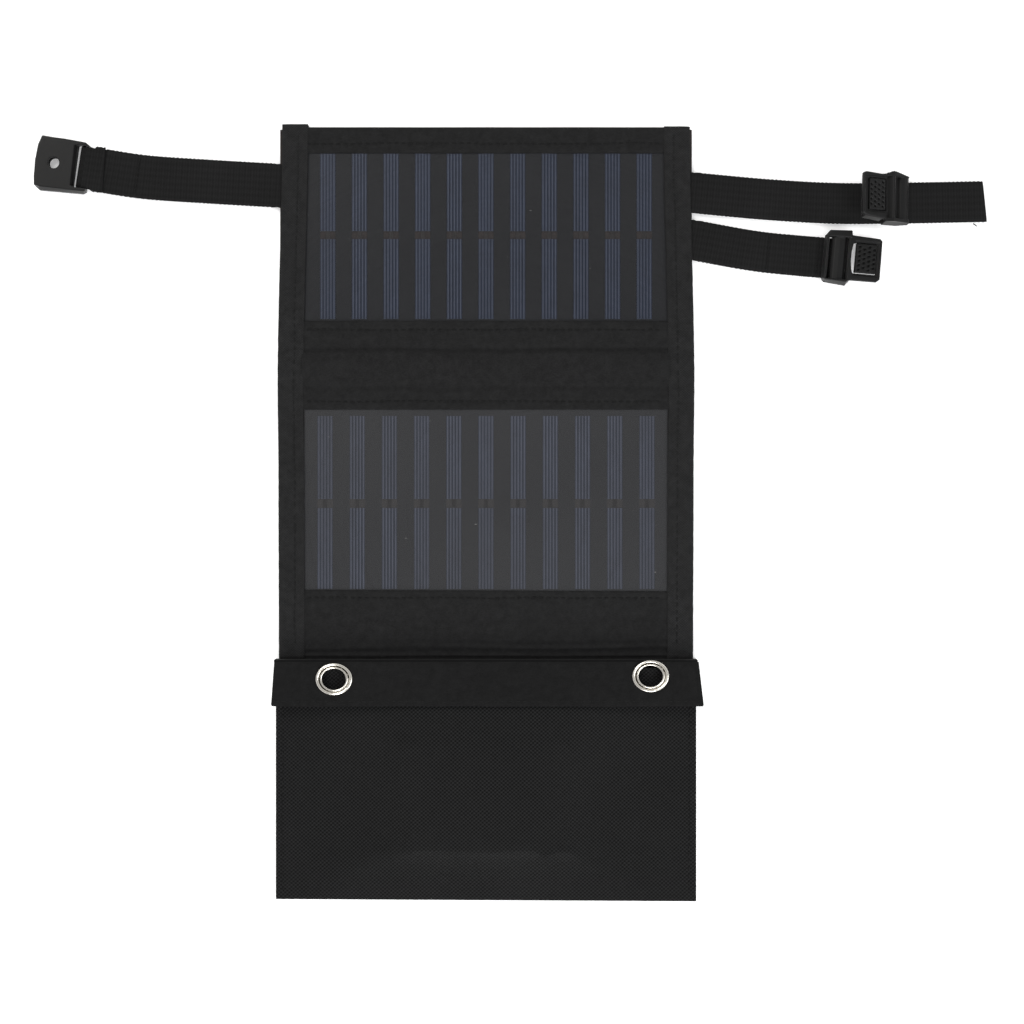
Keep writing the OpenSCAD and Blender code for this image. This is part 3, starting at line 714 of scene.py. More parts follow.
def settle(top, pinned, frames=14):
    """Lets a grid of cloth come to rest over the charge box under its own weight."""
    rows, cols = len(top), len(top[0])
    mesh = bpy.data.meshes.new("settling")
    faces = [(r * cols + c, r * cols + c + 1, (r + 1) * cols + c + 1, (r + 1) * cols + c)
             for r in range(rows - 1) for c in range(cols - 1)]
    mesh.from_pydata([Vector(p) * MM for row in top for p in row], [], faces)
    cloth = bpy.data.objects.new("settling", mesh)
    bpy.context.scene.collection.objects.link(cloth)
    group = cloth.vertex_groups.new(name="pinned")
    group.add([r * cols + c for r in range(rows) for c in range(cols) if pinned(r, c)], 1.0, "REPLACE")
    body_mesh = bpy.data.meshes.new("settling_body")
    low, high = BOX_LOW, BOX_HIGH
    corners = [(x, y, z) for x in (low.x, high.x) for y in (low.y, high.y) for z in (0, high.z)]
    body_mesh.from_pydata([Vector(p) * MM for p in corners], [],
                          [(0, 1, 3, 2), (4, 6, 7, 5), (0, 4, 5, 1), (2, 3, 7, 6), (0, 2, 6, 4), (1, 5, 7, 3)])
    body = bpy.data.objects.new("settling_body", body_mesh)
    bpy.context.scene.collection.objects.link(body)
    body.modifiers.new("solid", "COLLISION")
    body.collision.thickness_outer = 0.0006
    fabric = cloth.modifiers.new("fabric", "CLOTH")
    fabric.settings.vertex_group_mass = "pinned"
    fabric.settings.quality = 8
    fabric.settings.mass = 0.25
    fabric.settings.tension_stiffness = 30
    fabric.settings.bending_stiffness = 1.5
    fabric.collision_settings.distance_min = 0.0006
    fabric.collision_settings.use_self_collision = False
    fabric.point_cache.frame_start, fabric.point_cache.frame_end = 1, frames
    scene = bpy.context.scene
    for f in range(1, frames + 1):
        scene.frame_set(f)
    result = cloth.evaluated_get(bpy.context.evaluated_depsgraph_get()).to_mesh()
    settled = [tuple(v.co / MM) for v in result.vertices]
    scene.frame_set(1)
    for made in (cloth, body):
        bpy.data.objects.remove(made, do_unlink=True)
    return [settled[r * cols:(r + 1) * cols] for r in range(rows)]


def smoothed(heights, xs, ys, passes=24):
    """Evens out the cloth between its sewn edges and keeps it clear of the box and its own back."""
    x, y = np.meshgrid(xs, ys)
    near = [np.clip(gap / 9 + 1.3, 0, 1) for gap in (BOX_HIGH.x - np.abs(x), y - BOX_LOW.y, BOX_HIGH.y - y)]
    over_box = np.prod([n * n * (3 - 2 * n) for n in near], axis=0)
    floor = 1.5 + (BOX_HIGH.z + CLOTH_T - 1.25) * over_box
    for _ in range(passes):
        inner = heights[1:-1, 1:-1]
        around = heights[:-2, 1:-1] + heights[2:, 1:-1] + heights[1:-1, :-2] + heights[1:-1, 2:]
        heights[1:-1, 1:-1] = 0.5 * inner + 0.125 * around
        heights = np.clip(np.maximum(heights, floor), 1.5, TRAY_HIGH.z)
    return heights


def make_pocket():
    xs = steps(-POCKET_HALF, POCKET_HALF, 2.4)
    last = MOUTH_Y + UNDER_FLAP
    ys = steps(POCKET_END, last, 2.2)
    top = [[(x, y, pocket_drape(x, y) + 0.25 * ripple(x, y, 22, 4)) for x in xs] for y in ys]
    rows, cols = len(ys), len(xs)

    def pinned(r, c):
        return r < 2 or r == rows - 1 or c < 2 or c > cols - 3

    settled = settle(top, pinned)
    heights = smoothed(np.array([[s[2] for s in row] for row in settled]), xs, ys)
    top = [[(s[0], s[1], heights[r][c]) for c, s in enumerate(row)] for r, row in enumerate(settled)]
    shape = Shape()
    shape.sheet([[(x, pocket_y(x, y), z) for x, y, z in row] for row in top], CLOTH_T)
    grid = np.array([[p[2] for p in row] for row in top])

    def height(x, y):
        c = (x + POCKET_HALF) / (2 * POCKET_HALF) * (cols - 1)
        r = (y - POCKET_END) / (last - POCKET_END) * (rows - 1)
        c0, r0 = min(max(int(c), 0), cols - 2), min(max(int(r), 0), rows - 2)
        fc, fr = c - c0, r - r0
        low = grid[r0, c0] * (1 - fc) + grid[r0, c0 + 1] * fc
        high = grid[r0 + 1, c0] * (1 - fc) + grid[r0 + 1, c0 + 1] * fc
        return low * (1 - fr) + high * fr + 0.05

    seam = POCKET_HALF - SEAM_IN
    shape.seam((-seam, POCKET_END + 3), (-seam, MOUTH_Y - 1), height, 0.4, 2)
    shape.seam((seam, POCKET_END + 3), (seam, MOUTH_Y - 1), height, 0.4, 5)
    piece = shape.make("pocket_front_cloth", "pocket_cloth", "thread")
    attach(piece, "pocket")
    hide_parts("pocket_front")


def make_pocket_back():
    shape = Shape()
    xs = steps(-POCKET_HALF, POCKET_HALF, 3)
    ys = steps(POCKET_END - 0.2, POCKET_HIGH.y, 3)
    shape.sheet([[(x, pocket_y(x, y), back_height(x, y)) for x in xs] for y in ys], CLOTH_T)
    piece = shape.make("pocket_back_cloth", "pocket_cloth")
    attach(piece, "pocket")
    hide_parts("pocket_back")


# ---------------------------------------------------------------- flap and eyelets

EYELET_R = 4.8
EYELET_FLANGE_R = 7.4
EYELET_OVAL = 0.87


def eyelet_centres():
    for x, y in ((EYELET_LOW.x + EYELET_FLANGE_R + 0.7, EYELET_LOW.y + EYELET_FLANGE_R + 0.4),
                 (EYELET_HIGH.x - EYELET_FLANGE_R - 0.3, EYELET_HIGH.y - EYELET_FLANGE_R + 0.8)):
        yield Vector((x, y, 0))


def flap_height(x, y):
    root = FLAP_HIGH.y
    t = (root - y) / (root - FLAP_LOW.y)
    z = FLAP_HIGH.z - 0.2 - 0.5 * bump_at(t, 0.0, 0.05) - 0.45 * ease(68, 80, abs(x)) - 0.3 * bump_at(abs(x), 74, 0.6)
    near_metal = max(bump_at((Vector((x, y, 0)) - c).length, 0, 9.5) for c in eyelet_centres())
    z += (1 - near_metal) * (0.2 * math.sin(x * 0.055 + 1) * t - 0.15 + 0.14 * ripple(x, y, 12, 9))
    return z - 0.3 * ease(0.93, 1.0, t)


def make_flap():
    shape = Shape()
    root, end = FLAP_HIGH.y - 0.8, FLAP_LOW.y
    us = np.linspace(-1, 1, 200)
    ys = steps(root, end, 0.8)
    top = []
    for y in ys:
        t = (root - y) / (root - end)
        half = 84.0 + 2.1 * t - 0.3 * ease(0.97, 1.0, t)
        xs = [u * half + 0.8 * t * ease(0.5, -1, u) + 0.5 * ease(0, 1, u) for u in us]
        top.append([(x, y + 0.25 * ripple(x, 0, 20, 2) * t, flap_height(x, y)) for x in xs])
    centres = list(eyelet_centres())

    def keep(r, c):
        x, y, _ = top[r][c]
        return all(math.hypot(x - m.x, (y - m.y) / EYELET_OVAL) > EYELET_R + 0.9 for m in centres)

    shape.sheet(top, CLOTH_T, keep)
    hem = end + 2.0
    shape.seam((-84.5, hem), (84.5, hem), lambda x, y: flap_height(x, y) - 0.2, 0.3, 8)
    piece = shape.make("flap_sheet", "flap_cloth", "thread")
    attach(piece, "flap")
    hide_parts("flap_cloth")


def make_eyelets():
    """Rolled rings: an outer flange, a groove and an inner lip that turns down the bore."""
    base = FLAP_HIGH.z - 0.2
    outline = [(EYELET_R + 0.35, base - 1.5), (EYELET_R, base - 1.2), (EYELET_R, base + 0.3)]
    for k in range(7):
        a = math.pi * (1 - k / 6)
        outline.append((EYELET_R + 0.4 + 0.4 * math.cos(a), base + 0.5 + 0.35 * math.sin(a)))
    outline += [(EYELET_R + 0.85, base - 0.3), (EYELET_R + 1.15, base - 0.3)]
    for k in range(9):
        a = math.pi * (0.95 - 0.95 * k / 8)
        outline.append((EYELET_R + 1.9 + 0.7 * math.cos(a), base + 0.1 + 0.8 * math.sin(a)))
    outline += [(EYELET_FLANGE_R - 0.02, base + 0.02), (EYELET_R + 0.9, base - 0.4), (EYELET_R + 0.35, base - 0.5)]
    shape = Shape()
    around = 72
    n = len(outline)
    for centre in eyelet_centres():
        points = []
        for k in range(around):
            a = 2 * math.pi * k / around
            points += [(centre.x + r * math.cos(a), centre.y + EYELET_OVAL * r * math.sin(a), z) for r, z in outline]
        faces = [(((k + 1) % around) * n + i, ((k + 1) % around) * n + (i + 1) % n, k * n + (i + 1) % n, k * n + i)
                 for k in range(around) for i in range(n)]
        shape.add(points, faces)
    piece = shape.make("eyelet_rings", "nickel")
    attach(piece, "flap")
    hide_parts("eyelets")


# ---------------------------------------------------------------- webbing

STRAP_Z = 1.9
WEB_HALF_T = 0.58


def strap_frame(n):
    """The joint prefix, root hinge and wrap hinge of a strap."""
    prefix = {"left": "left_strap", "right": "right_strap", "lower": "lower_strap"}[n]
    root, wrap = pivot(f"{prefix}_swing"), pivot(f"{prefix}_wrap")
    return prefix, root, wrap


def smooth_path(points, size):
    """A centripetal-like curve through the points, sampled about every size."""
    pts = [Vector(p) for p in points]
    pts = [pts[0] * 2 - pts[1], *pts, pts[-1] * 2 - pts[-2]]
    path = []
    for i in range(1, len(pts) - 2):
        p0, p1, p2, p3 = pts[i - 1:i + 3]
        count = max(1, int(round((p2 - p1).length / size)))
        for k in range(count):
            t = k / count
            path.append(0.5 * (2 * p1 + (p2 - p0) * t + (2 * p0 - 5 * p1 + 4 * p2 - p3) * t * t
                               + (3 * p1 - p0 - 3 * p2 + p3) * t * t * t))
    path.append(pts[-2])
    return path


def web_ribbon(shape, path, half, start_s=0.0, ruffle=0.0, end_slant=0.0, lift=None):
    """Webbing swept along a path: rounded scalloped edges and low ribs."""
    rings, cloth = [], []
    s = start_s
    last = None
    profile = [(-1, 0), (-0.985, 0.72), (-0.93, 1), (-0.6, 1), (-0.2, 1), (0.2, 1), (0.6, 1), (0.93, 1), (0.985, 0.72),
               (1, 0), (0.985, -0.72), (0.93, -1), (0.6, -1), (0.2, -1), (-0.2, -1), (-0.6, -1), (-0.93, -1),
               (-0.985, -0.72)]
    for i, p in enumerate(path):
        if last is not None:
            s += (p - last).length
        last = p
        along = (path[min(i + 1, len(path) - 1)] - path[max(i - 1, 0)]).normalized()
        side = Vector((-along.y, along.x, 0)).normalized()
        up = side.cross(along) * -1
        up = along.cross(side)
        reach = half(s) if callable(half) else half
        ring, where = [], []
        for u, w in profile:
            edge = abs(u) ** 8
            scallop = 1 + 0.016 * edge * math.sin(2 * math.pi * s / 1.7 + (0 if u > 0 else 1.4))
            wave_z = 0.12 * ripple(s * 1.0, u * 9, 14, 31) + ruffle * edge * 0.5 * math.sin(s * 2.0)
            rib = 0.008 * math.sin(2 * math.pi * s / 2.1)
            thick = WEB_HALF_T * w * (1 - 0.15 * edge) + rib * w
            slant = end_slant * u if i == len(path) - 1 else 0.0
            ring.append(p + side * (u * reach * scallop) + up * (thick + wave_z) + along * slant)
            where.append((s, u * reach, w))
        rings.append(ring)
        cloth.append(where)
    shape.rings(rings, cloth)
    return s


def blend_strap(piece, joint):
    """Reads one of a strap's hinges and bakes the strap's placement into its mesh; the strap is not bent."""
    j = JOINTS[joint]
    at = pivot(joint)
    axis = Vector(j["axis"])
    outward = Vector((-axis.y, axis.x, 0)).normalized()
    if outward.x * at.x < 0:
        outward = -outward
    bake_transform(piece)


def box_stitches(shape, path_point, along, half, count, z):
    """A row of stitches across the strap."""
    side = Vector((-along.y, along.x, 0))
    pitch = 2 * (half - 0.9) / count
    for k in range(count):
        a = path_point + side * (-half + 0.9 + k * pitch)
        b = path_point + side * (-half + 0.9 + k * pitch + pitch * 0.7)
        shape.stitch((a.x, a.y, z), (b.x, b.y, z))


def split_path(path, at):
    """Cuts a path at the point nearest a place."""
    nearest = min(range(len(path)), key=lambda i: (path[i] - at).length)
    return path[:nearest + 1], path[nearest:], nearest


def loop_path(bar, along, tail, radius=1.3):
    """Over the bar and round it to its underside."""
    up = Vector((0, 0, 1))
    points = []
    for k in range(9):
        a = math.pi / 2 - math.pi * k / 8
        points.append(bar + along * (radius * math.cos(a)) + up * (radius * math.sin(a)))
    return points


def strap_piece(names, n, middle_points, bar, half, tail=18.0, seams=(), folded_over=0.0):
    """A strap that ends in a sewn loop round a bar, in two pieces split between its hinges."""
    prefix, root, wrap = strap_frame(n)
    sign = 1 if root.x > 0 else -1
    first_dir = (wrap - root).normalized()
    start = root - first_dir * 9.0
    bar = Vector(bar)
    bar_dir = bar - Vector(middle_points[-1])
    bar_dir.z = 0
    bar_dir.normalize()
    throat = bar - bar_dir * 5.0
    over = smooth_path([start, root, *middle_points, (throat.x, throat.y, STRAP_Z + 0.1),
                        tuple(bar - bar_dir * 1.6 + Vector((0, 0, 1.15)))], 0.8)
    under_start = bar - bar_dir * 2.0 - Vector((0, 0, 1.25))
    tail_end = bar - bar_dir * (tail + 5.0)
    under = smooth_path([under_start, (throat.x, throat.y, 0.68), (tail_end.x, tail_end.y, 0.66)], 0.8)
    around = loop_path(bar, bar_dir, tail)
    mid = (root + wrap) / 2
    inner, outer, _ = split_path(over, mid)
    shape = Shape()
    s = web_ribbon(shape, inner, half)
    inner_piece = shape.make(names[0], "webbing")
    blend_strap(inner_piece, f"{prefix}_swing")
    shape = Shape()
    web_ribbon(shape, outer + around + under, half, s)
    if folded_over:
        place = [bar - bar_dir * d + Vector((0, 0, z)) for d, z in ((0.6, 1.5), (3.0, 1.2), (folded_over, 1.0))]
        web_ribbon(shape, smooth_path(place, 0.5), lambda d: 8.3 + 0.8 * ease(3.2, 4.4, d), 0.0, ruffle=0.5, end_slant=-0.7)
    for distance, count in seams:
        at = bar - bar_dir * distance
        box_stitches(shape, at, bar_dir, half(90) if callable(half) else half, count, STRAP_Z + WEB_HALF_T + 0.12)
    outer_piece = shape.make(names[1], "webbing", "thread")
    blend_strap(outer_piece, f"{prefix}_wrap")
    return inner_piece, outer_piece


def make_straps():
    bar = pivot("catch_tilt") + Vector((1.25, -0.25, 0))
    left_wrap = pivot("left_strap_wrap")

    def left_half(s):
        return 8.8 - 0.5 * ease(76, 80, s)

    middle = [left_wrap, Vector((-136.4, 132.3, STRAP_Z))]
    inner, outer = strap_piece(("left_webbing_root", "left_webbing"), "left", middle, bar, left_half,
                               seams=((22.0, 7),), folded_over=8.5)
    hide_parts("left_strap_anchor", "left_web_inner")
    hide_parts("left_web_outer")

    bar = pivot("end_clip_tilt")
    lower_wrap = pivot("lower_strap_wrap")
    inner, outer = strap_piece(("lower_webbing_root", "lower_webbing"), "lower", [lower_wrap], bar, 8.1,
                               seams=((29.0, 7), (9.0, 7)))
    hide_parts("lower_strap_anchor", "lower_web_inner")
    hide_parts("lower_web_outer")

    prefix, root, wrap = strap_frame("right")
    direction = (wrap - root).normalized()
    end = Vector((span("right_web_outer")[1].x - 0.2, 122.5, STRAP_Z))
    path = smooth_path([root - direction * 9.0, root, wrap, (140, 121.8, STRAP_Z), (166, 121.9, STRAP_Z), end], 0.8)
    inner_path, outer_path, _ = split_path(path, (root + wrap) / 2)
    shape = Shape()
    s = web_ribbon(shape, inner_path, 8.2)
    inner = shape.make("right_webbing_root", "webbing")
    blend_strap(inner, "right_strap_swing")
    shape = Shape()
    web_ribbon(shape, outer_path, 8.2, s, end_slant=-0.7)
    for dx, dy in ((1.6, -1.5), (1.1, -0.2), (0.7, 1.2)):
        corner = end + Vector((-4.6, -7.2 + dy, -0.2))
        shape.stitch(corner, corner + Vector((dx, dy * 0.8, 0.1)))
    outer = shape.make("right_webbing", "webbing", "thread")
    blend_strap(outer, "right_strap_wrap")
    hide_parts("right_strap_anchor", "right_web_inner")
    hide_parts("right_web_outer")


# ---------------------------------------------------------------- moulded fittings

# Outlines of the fittings, each drawn from its own bar: x away from the webbing, y across, z up.
CLIP_PLATE = [(3.0, 9.6), (15.0, 9.0), (15.9, 8.1), (16.1, -7.2), (14.7, -8.4), (3.0, -8.5)]
CLIP_TOP_RAIL = [(-6.9, 8.6), (-5.2, 10.9), (3.4, 11.4), (3.7, 11.1), (3.7, 8.5), (-6.9, 8.4)]
CLIP_LOW_RAIL = ([(-6.8, -8.4), (3.9, -8.4), (4.0, -8.9), (2.7, -10.6), (-5.8, -9.9), (-6.8, -9.0)],
                 [(-6.5, -8.4), (3.7, -8.4), (3.7, -8.6), (2.7, -9.3), (-5.7, -8.9), (-6.5, -8.6)])
CLIP_HOOD = [(-4.15, 1.8), (-3.9, 2.4), (-2.8, 3.1), (-0.9, 3.4), (1.0, 3.1), (1.9, 2.4), (2.2, 1.3),
             (1.4, 1.3), (1.1, 2.0), (0.4, 2.4), (-0.9, 2.6), (-2.3, 2.4), (-3.1, 2.1), (-3.3, 1.8)]
CLIP_CHEEK = [(-5.4, 2.0), (-5.2, 4.1), (3.5, 4.2), (3.8, 3.6), (3.8, 1.4), (3.0, -0.5), (-1.4, -0.6), (-3.2, 1.0)]
CLIP_CRESCENT = [(5.5, 6.4), (4.5, 6.3), (3.97, 2.8), (4.0, -0.8), (4.4, -4.0), (4.9, -5.6), (5.5, -5.6)]
CLIP_PAD = (5.5, 13.9, -5.25, 6.4)
SLIDER_PLATE = [(5.4, 9.3), (7.8, 9.1), (15.0, 9.6), (16.3, 8.9), (16.6, -6.6), (15.4, -7.7), (7.0, -8.7), (5.4, -8.8)]
SLIDER_SKIRT = ([(15.2, -7.0), (7.0, -8.0), (7.0, -9.5), (15.2, -8.5)], [(15.2, -7.0), (7.0, -8.0), (7.0, -8.8), (15.2, -7.8)])
SLIDER_ROOF = [(5.8, 1.9), (5.7, 2.9), (4.5, 2.9), (3.3, 5.0), (2.8, 5.3), (2.2, 5.0), (1.1, 2.2), (-0.5, 2.2),
               (-1.5, 3.4), (-3.0, 3.8), (-4.4, 3.6), (-5.6, 2.8), (-5.7, 2.1), (-3.5, 1.7), (-0.5, 1.3), (4.0, 1.2)]
SLIDER_CHEEK = [(7.6, 3.9), (5.6, 4.1), (3.0, 5.3), (2.0, 5.2), (-4.6, 3.9), (-5.7, 3.2), (-5.7, 1.7), (-1.0, 0.2),
                (5.8, 0.2), (7.6, 2.3)]
SLIDER_PAD = (5.9, 13.8, -5.3, 6.9)
CATCH_OUTLINE = [(-3.4, 8.5), (-1.9, 9.6), (6.0, 10.2), (16.1, 11.0), (17.3, 6.6), (17.8, 0.5), (17.6, -6.0),
                 (17.2, -9.4), (15.0, -11.0), (-2.4, -10.6), (-3.6, -9.7), (-3.6, -8.6), (1.5, -8.6), (1.05, 8.5)]
PAD_COLUMNS = 4
PAD_ROWS = 6
MOULD_GRAIN = 0.17
PAD_GRAIN = 0.13


def own_frame(origin, heading, mirrored=False, tilt=0.0):
    """From a fitting's own frame to the row frame, both in millimetres."""
    turn = Matrix.Rotation(math.radians(heading), 4, "Z")
    flip = Matrix.Scale(-1, 4, (1, 0, 0)) if mirrored else Matrix.Identity(4)
    return Matrix.Translation(origin) @ turn @ flip @ Matrix.Rotation(math.radians(-tilt), 4, "Y")


def prism(shape, outline, low, high, inset=0.0, drop=0.0):
    """An outline seen from above, made solid; its top edge can be bevelled."""
    rings = [[(x, y, low) for x, y in outline], [(x, y, high - drop) for x, y in outline]]
    if inset:
        cx = sum(p[0] for p in outline) / len(outline)
        cy = sum(p[1] for p in outline) / len(outline)
        reach = max(abs(y - cy) for _, y in outline)
        k = 1 - inset / reach
        rings.append([(cx + (x - cx) * k, cy + (y - cy) * k, high) for x, y in outline])
    shape.rings(rings)


def side_prism(shape, outline, low, high):
    """An outline seen from the side, drawn out across the fitting."""
    shape.rings([[(x, y, z) for x, z in outline] for y in (low, high)])


def rod(shape, x, z, radius, low, high, sides=24):
    ring = [(x + radius * math.cos(2 * math.pi * k / sides), z + radius * math.sin(2 * math.pi * k / sides))
            for k in range(sides)]
    side_prism(shape, ring, low, high)


def plain(name, shape):
    mesh = bpy.data.meshes.new(name)
    mesh.from_pydata([Vector(p) for p in shape.points], [], shape.faces)
    shell = bmesh.new()
    shell.from_mesh(mesh)
    bmesh.ops.recalc_face_normals(shell, faces=shell.faces)
    shell.to_mesh(mesh)
    shell.free()
    made = bpy.data.objects.new(name, mesh)
    bpy.context.scene.collection.objects.link(made)
    return made


def baked(piece):
    """The mesh with its modifiers applied."""
    bpy.context.view_layer.update()
    mesh = bpy.data.meshes.new_from_object(piece.evaluated_get(bpy.context.evaluated_depsgraph_get()))
    piece.modifiers.clear()
    piece.data = mesh


def mould(name, body, cuts, frame_to_row, soften=2, grain=MOULD_GRAIN):
    """Fuses overlapping solids into one moulding, cuts it and rounds its edges."""
    piece = plain(name, body)
    cutter = plain(name + "_cutter", cuts) if cuts else None
    if cutter:
        cut = piece.modifiers.new("cut", "BOOLEAN")
        cut.operation, cut.object, cut.solver = "DIFFERENCE", cutter, "EXACT"
        cut.use_self = True
    fuse = piece.modifiers.new("fuse", "REMESH")
    fuse.mode, fuse.voxel_size = "VOXEL", grain
    smooth = piece.modifiers.new("soften", "SMOOTH")
    smooth.factor, smooth.iterations = 0.5, soften
    baked(piece)
    if cutter:
        bpy.data.objects.remove(cutter, do_unlink=True)
    piece.data.transform(Matrix.Scale(MM, 4) @ frame_to_row)
    if frame_to_row.determinant() < 0:
        piece.data.flip_normals()
    piece.data.materials.clear()
    piece.data.materials.append(MATERIALS["clip_plastic"])
    piece.data.polygons.foreach_set("use_smooth", [True] * len(piece.data.polygons))
    piece.data.update()
    return piece


def pad_cuts(cuts, pad, top_edge, low_edge, far_edge):
    """The sunk field round a pad and the slot the pad stands in."""
    x0, x1, y0, y1 = pad
    prism(cuts, [(x0 - 0.4, top_edge), (far_edge, top_edge), (far_edge, low_edge), (x0 - 0.4, low_edge)], 3.45, 6)
    prism(cuts, [(x0 - 0.2, y1 + 0.3), (x1 + 0.2, y1 + 0.3), (x1 + 0.2, y0 - 0.2), (x0 - 0.2, y0 - 0.3)], 0, 6)


def end_clip_solids():
    """A barrel hood between two rims, rails along both sides and a plate with a crescent of open space."""
    shape, cuts = Shape(), Shape()
    side_prism(shape, CLIP_CHEEK, 8.7, 10.4)
    prism(shape, CLIP_TOP_RAIL, 1.6, 4.1, 0.25, 0.3)
    low, high = CLIP_LOW_RAIL
    shape.rings([[(x, y, 0.3) for x, y in low], [(x, y, 4.1) for x, y in high]])
    side_prism(shape, CLIP_HOOD, -8.8, 8.9)
    side_prism(shape, [(2.1, 0.7), (2.1, 1.5), (3.2, 1.5), (3.2, 0.7)], -8.8, 8.9)
    for y in (-9.1, 8.3):
        side_prism(shape, [(-5.6, -0.3), (-5.6, 0.9), (-3.0, 0.9), (-3.0, -0.3)], y, y + 0.8)
    rod(shape, 0, 0, 0.6, -8.9, 8.9)
    side_prism(shape, [(-7.0, 1.5), (-6.4, 3.9), (-6.0, 4.2), (-5.6, 4.1), (-5.1, 2.7), (-5.5, 1.5)], -8.8, 8.9)
    side_prism(shape, [(2.8, 1.4), (2.8, 3.7), (3.1, 4.0), (3.8, 3.9), (3.95, 3.0), (3.95, 2.2)], -8.8, 9.7)
    prism(shape, CLIP_PLATE, 2.3, 3.95, 0.35, 0.35)
    pad_cuts(cuts, CLIP_PAD, 7.6, -6.4, 15.2)
    prism(cuts, CLIP_CRESCENT, 0, 6)
    return shape, cuts


def slider_solids():
    """A ridged roof over the webbing, a cheek at each side and a plate that stands up off the strap."""
    shape, cuts = Shape(), Shape()
    side_prism(shape, SLIDER_ROOF, -8.8, 8.9)
    shape.rings([[(x, 8.4, z) for x, z in SLIDER_CHEEK],
                 [(x, 10.5 - (0.2 if x < 3 else 0.35) * abs(x - 3), z) for x, z in SLIDER_CHEEK]])
    shape.rings([[(min(x, 6.0), -8.4, z) for x, z in SLIDER_CHEEK],
                 [(min(x, 6.0), -9.7 - 0.32 * max(0, 3.9 - z), z) for x, z in SLIDER_CHEEK]])
    prism(shape, SLIDER_PLATE, 2.3, 3.95, 0.35, 0.35)
    low, high = SLIDER_SKIRT
    shape.rings([[(x, y, 0.6) for x, y in low], [(x, y, 3.5) for x, y in high]])
    rod(shape, 0, 0, 0.6, -8.9, 8.9)
    pad_cuts(cuts, SLIDER_PAD, 8.0, -6.4, 15.6)
    return shape, cuts


def pad_solids(pad, low_flange, near_flange):
    """A sprung pad: a lattice of small pits above, a flange and a stud below."""
    x0, x1, y0, y1 = pad
    shape, pits = Shape(), Shape()
    shape.rings([[(x0, y1, 2.3), (x1, y1, 2.3), (x1, y0, 2.3), (x0, y0, 2.3)],
                 [(x0, y1, 3.0), (x1, y1, 3.0), (x1, y0, 3.0), (x0, y0, 3.0)],
                 [(x0 + 0.5, y1 - 0.1, 4.1), (x1 - 0.1, y1 - 0.1, 4.1), (x1 - 0.1, y0 + 0.1, 4.1), (x0 + 0.5, y0 + 0.1, 4.1)]])
    prism(shape, [(near_flange, y1 + 0.7), (x1 + 0.5, y1 + 0.7), (x1 + 0.5, low_flange), (near_flange, low_flange)], 1.5, 2.1)
    prism(shape, [(x0 + 0.3, y1 - 0.1), (x1 - 0.1, y1 - 0.1), (x1 - 0.1, y0 + 0.1), (x0 + 0.3, y0 + 0.1)], 1.9, 2.4)
    dx, dy = (x1 - x0 - 1.4) / (PAD_COLUMNS - 0.4), (y1 - y0 - 0.6) / PAD_ROWS
    for i in range(PAD_COLUMNS):
        for j in range(PAD_ROWS):
            cx = x0 + 1.6 + i * dx
            cy = y0 + 0.7 + dy * (j + 0.25 + 0.5 * (i % 2))
            if cy > y1 - 0.6:
                continue
            pit = [(cx + 0.95, cy), (cx + 0.1, cy + 0.75), (cx - 0.95, cy), (cx - 0.1, cy - 0.75)]
            pits.rings([[(cx + (x - cx) * 0.4, cy + (y - cy) * 0.4, 3.3) for x, y in pit], [(x, y, 4.2) for x, y in pit]])
    stud = [(10.5 + 1.9 * math.cos(a), 0.3 + 1.9 * math.sin(a)) for a in np.linspace(0, 2 * math.pi, 25)[:-1]]
    prism(shape, stud, 0.9, 1.7)
    return shape, pits


def make_catch():
    """A flat socket: bevelled along one side, open at the far end, with a round latch hole and a slot."""
    frame_to_row = own_frame(pivot("catch_tilt"), -6.4, mirrored=True)
    shape, cuts = Shape(), Shape()
    low, high = -1.9, 2.95
    lower = [(x, min(max(y, -9.8), 10.4)) for x, y in CATCH_OUTLINE]
    shape.rings([[(x, y, low) for x, y in CATCH_OUTLINE], [(x, y, 0.3) for x, y in CATCH_OUTLINE],
                 [(x - 0.25 * (x > 12), y, high) for x, y in lower]])
    rod(shape, -1.0, 0, 0.6, -8.8, 8.8)
    prism(cuts, [(6, 8.6), (24, 8.6), (24, -8.6), (6, -8.6)], -0.6, 1.7)
    hole = [(10.1 + 2.25 * math.cos(a), 0.2 + 2.25 * math.sin(a)) for a in np.linspace(0, 2 * math.pi, 41)[:-1]]
    prism(cuts, hole, -4, 6)
    side_prism(cuts, [(0.2, 4.0), (0.2, 0.45), (2.0, 0.45), (2.3, 2.0), (2.9, 4.0)], -8.2, 8.2)
    side_prism(cuts, [(0.2, -4.0), (0.2, -0.45), (2.2, -0.45), (3.2, -4.0)], -8.2, 8.2)
    catch = mould("catch_moulding", shape, cuts, frame_to_row)
    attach(catch, "catch")
    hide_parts("catch_plate")


def make_clips():
    end = own_frame(pivot("end_clip_tilt"), -5.2)
    slider = own_frame(Vector((162.7, 123.4, 3.2)), -0.8, mirrored=True, tilt=25)
    for word, place, solids, pad_parts in (
            ("end", end, end_clip_solids(), pad_solids(CLIP_PAD, low_flange=-5.0, near_flange=5.8)),
            ("slider", slider, slider_solids(), pad_solids(SLIDER_PAD, low_flange=-5.9, near_flange=5.4))):
        clip = mould(f"{word}_clip_moulding", *solids, place)
        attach(clip, "end_catch" if word == "end" else "slider")
        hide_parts(f"{word}_clip")
        sprung = mould(f"{word}_clip_pad", *pad_parts, place, 1, PAD_GRAIN)
        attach(sprung, f"{word}_press")
        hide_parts(f"{word}_pad")


# ---------------------------------------------------------------- stage


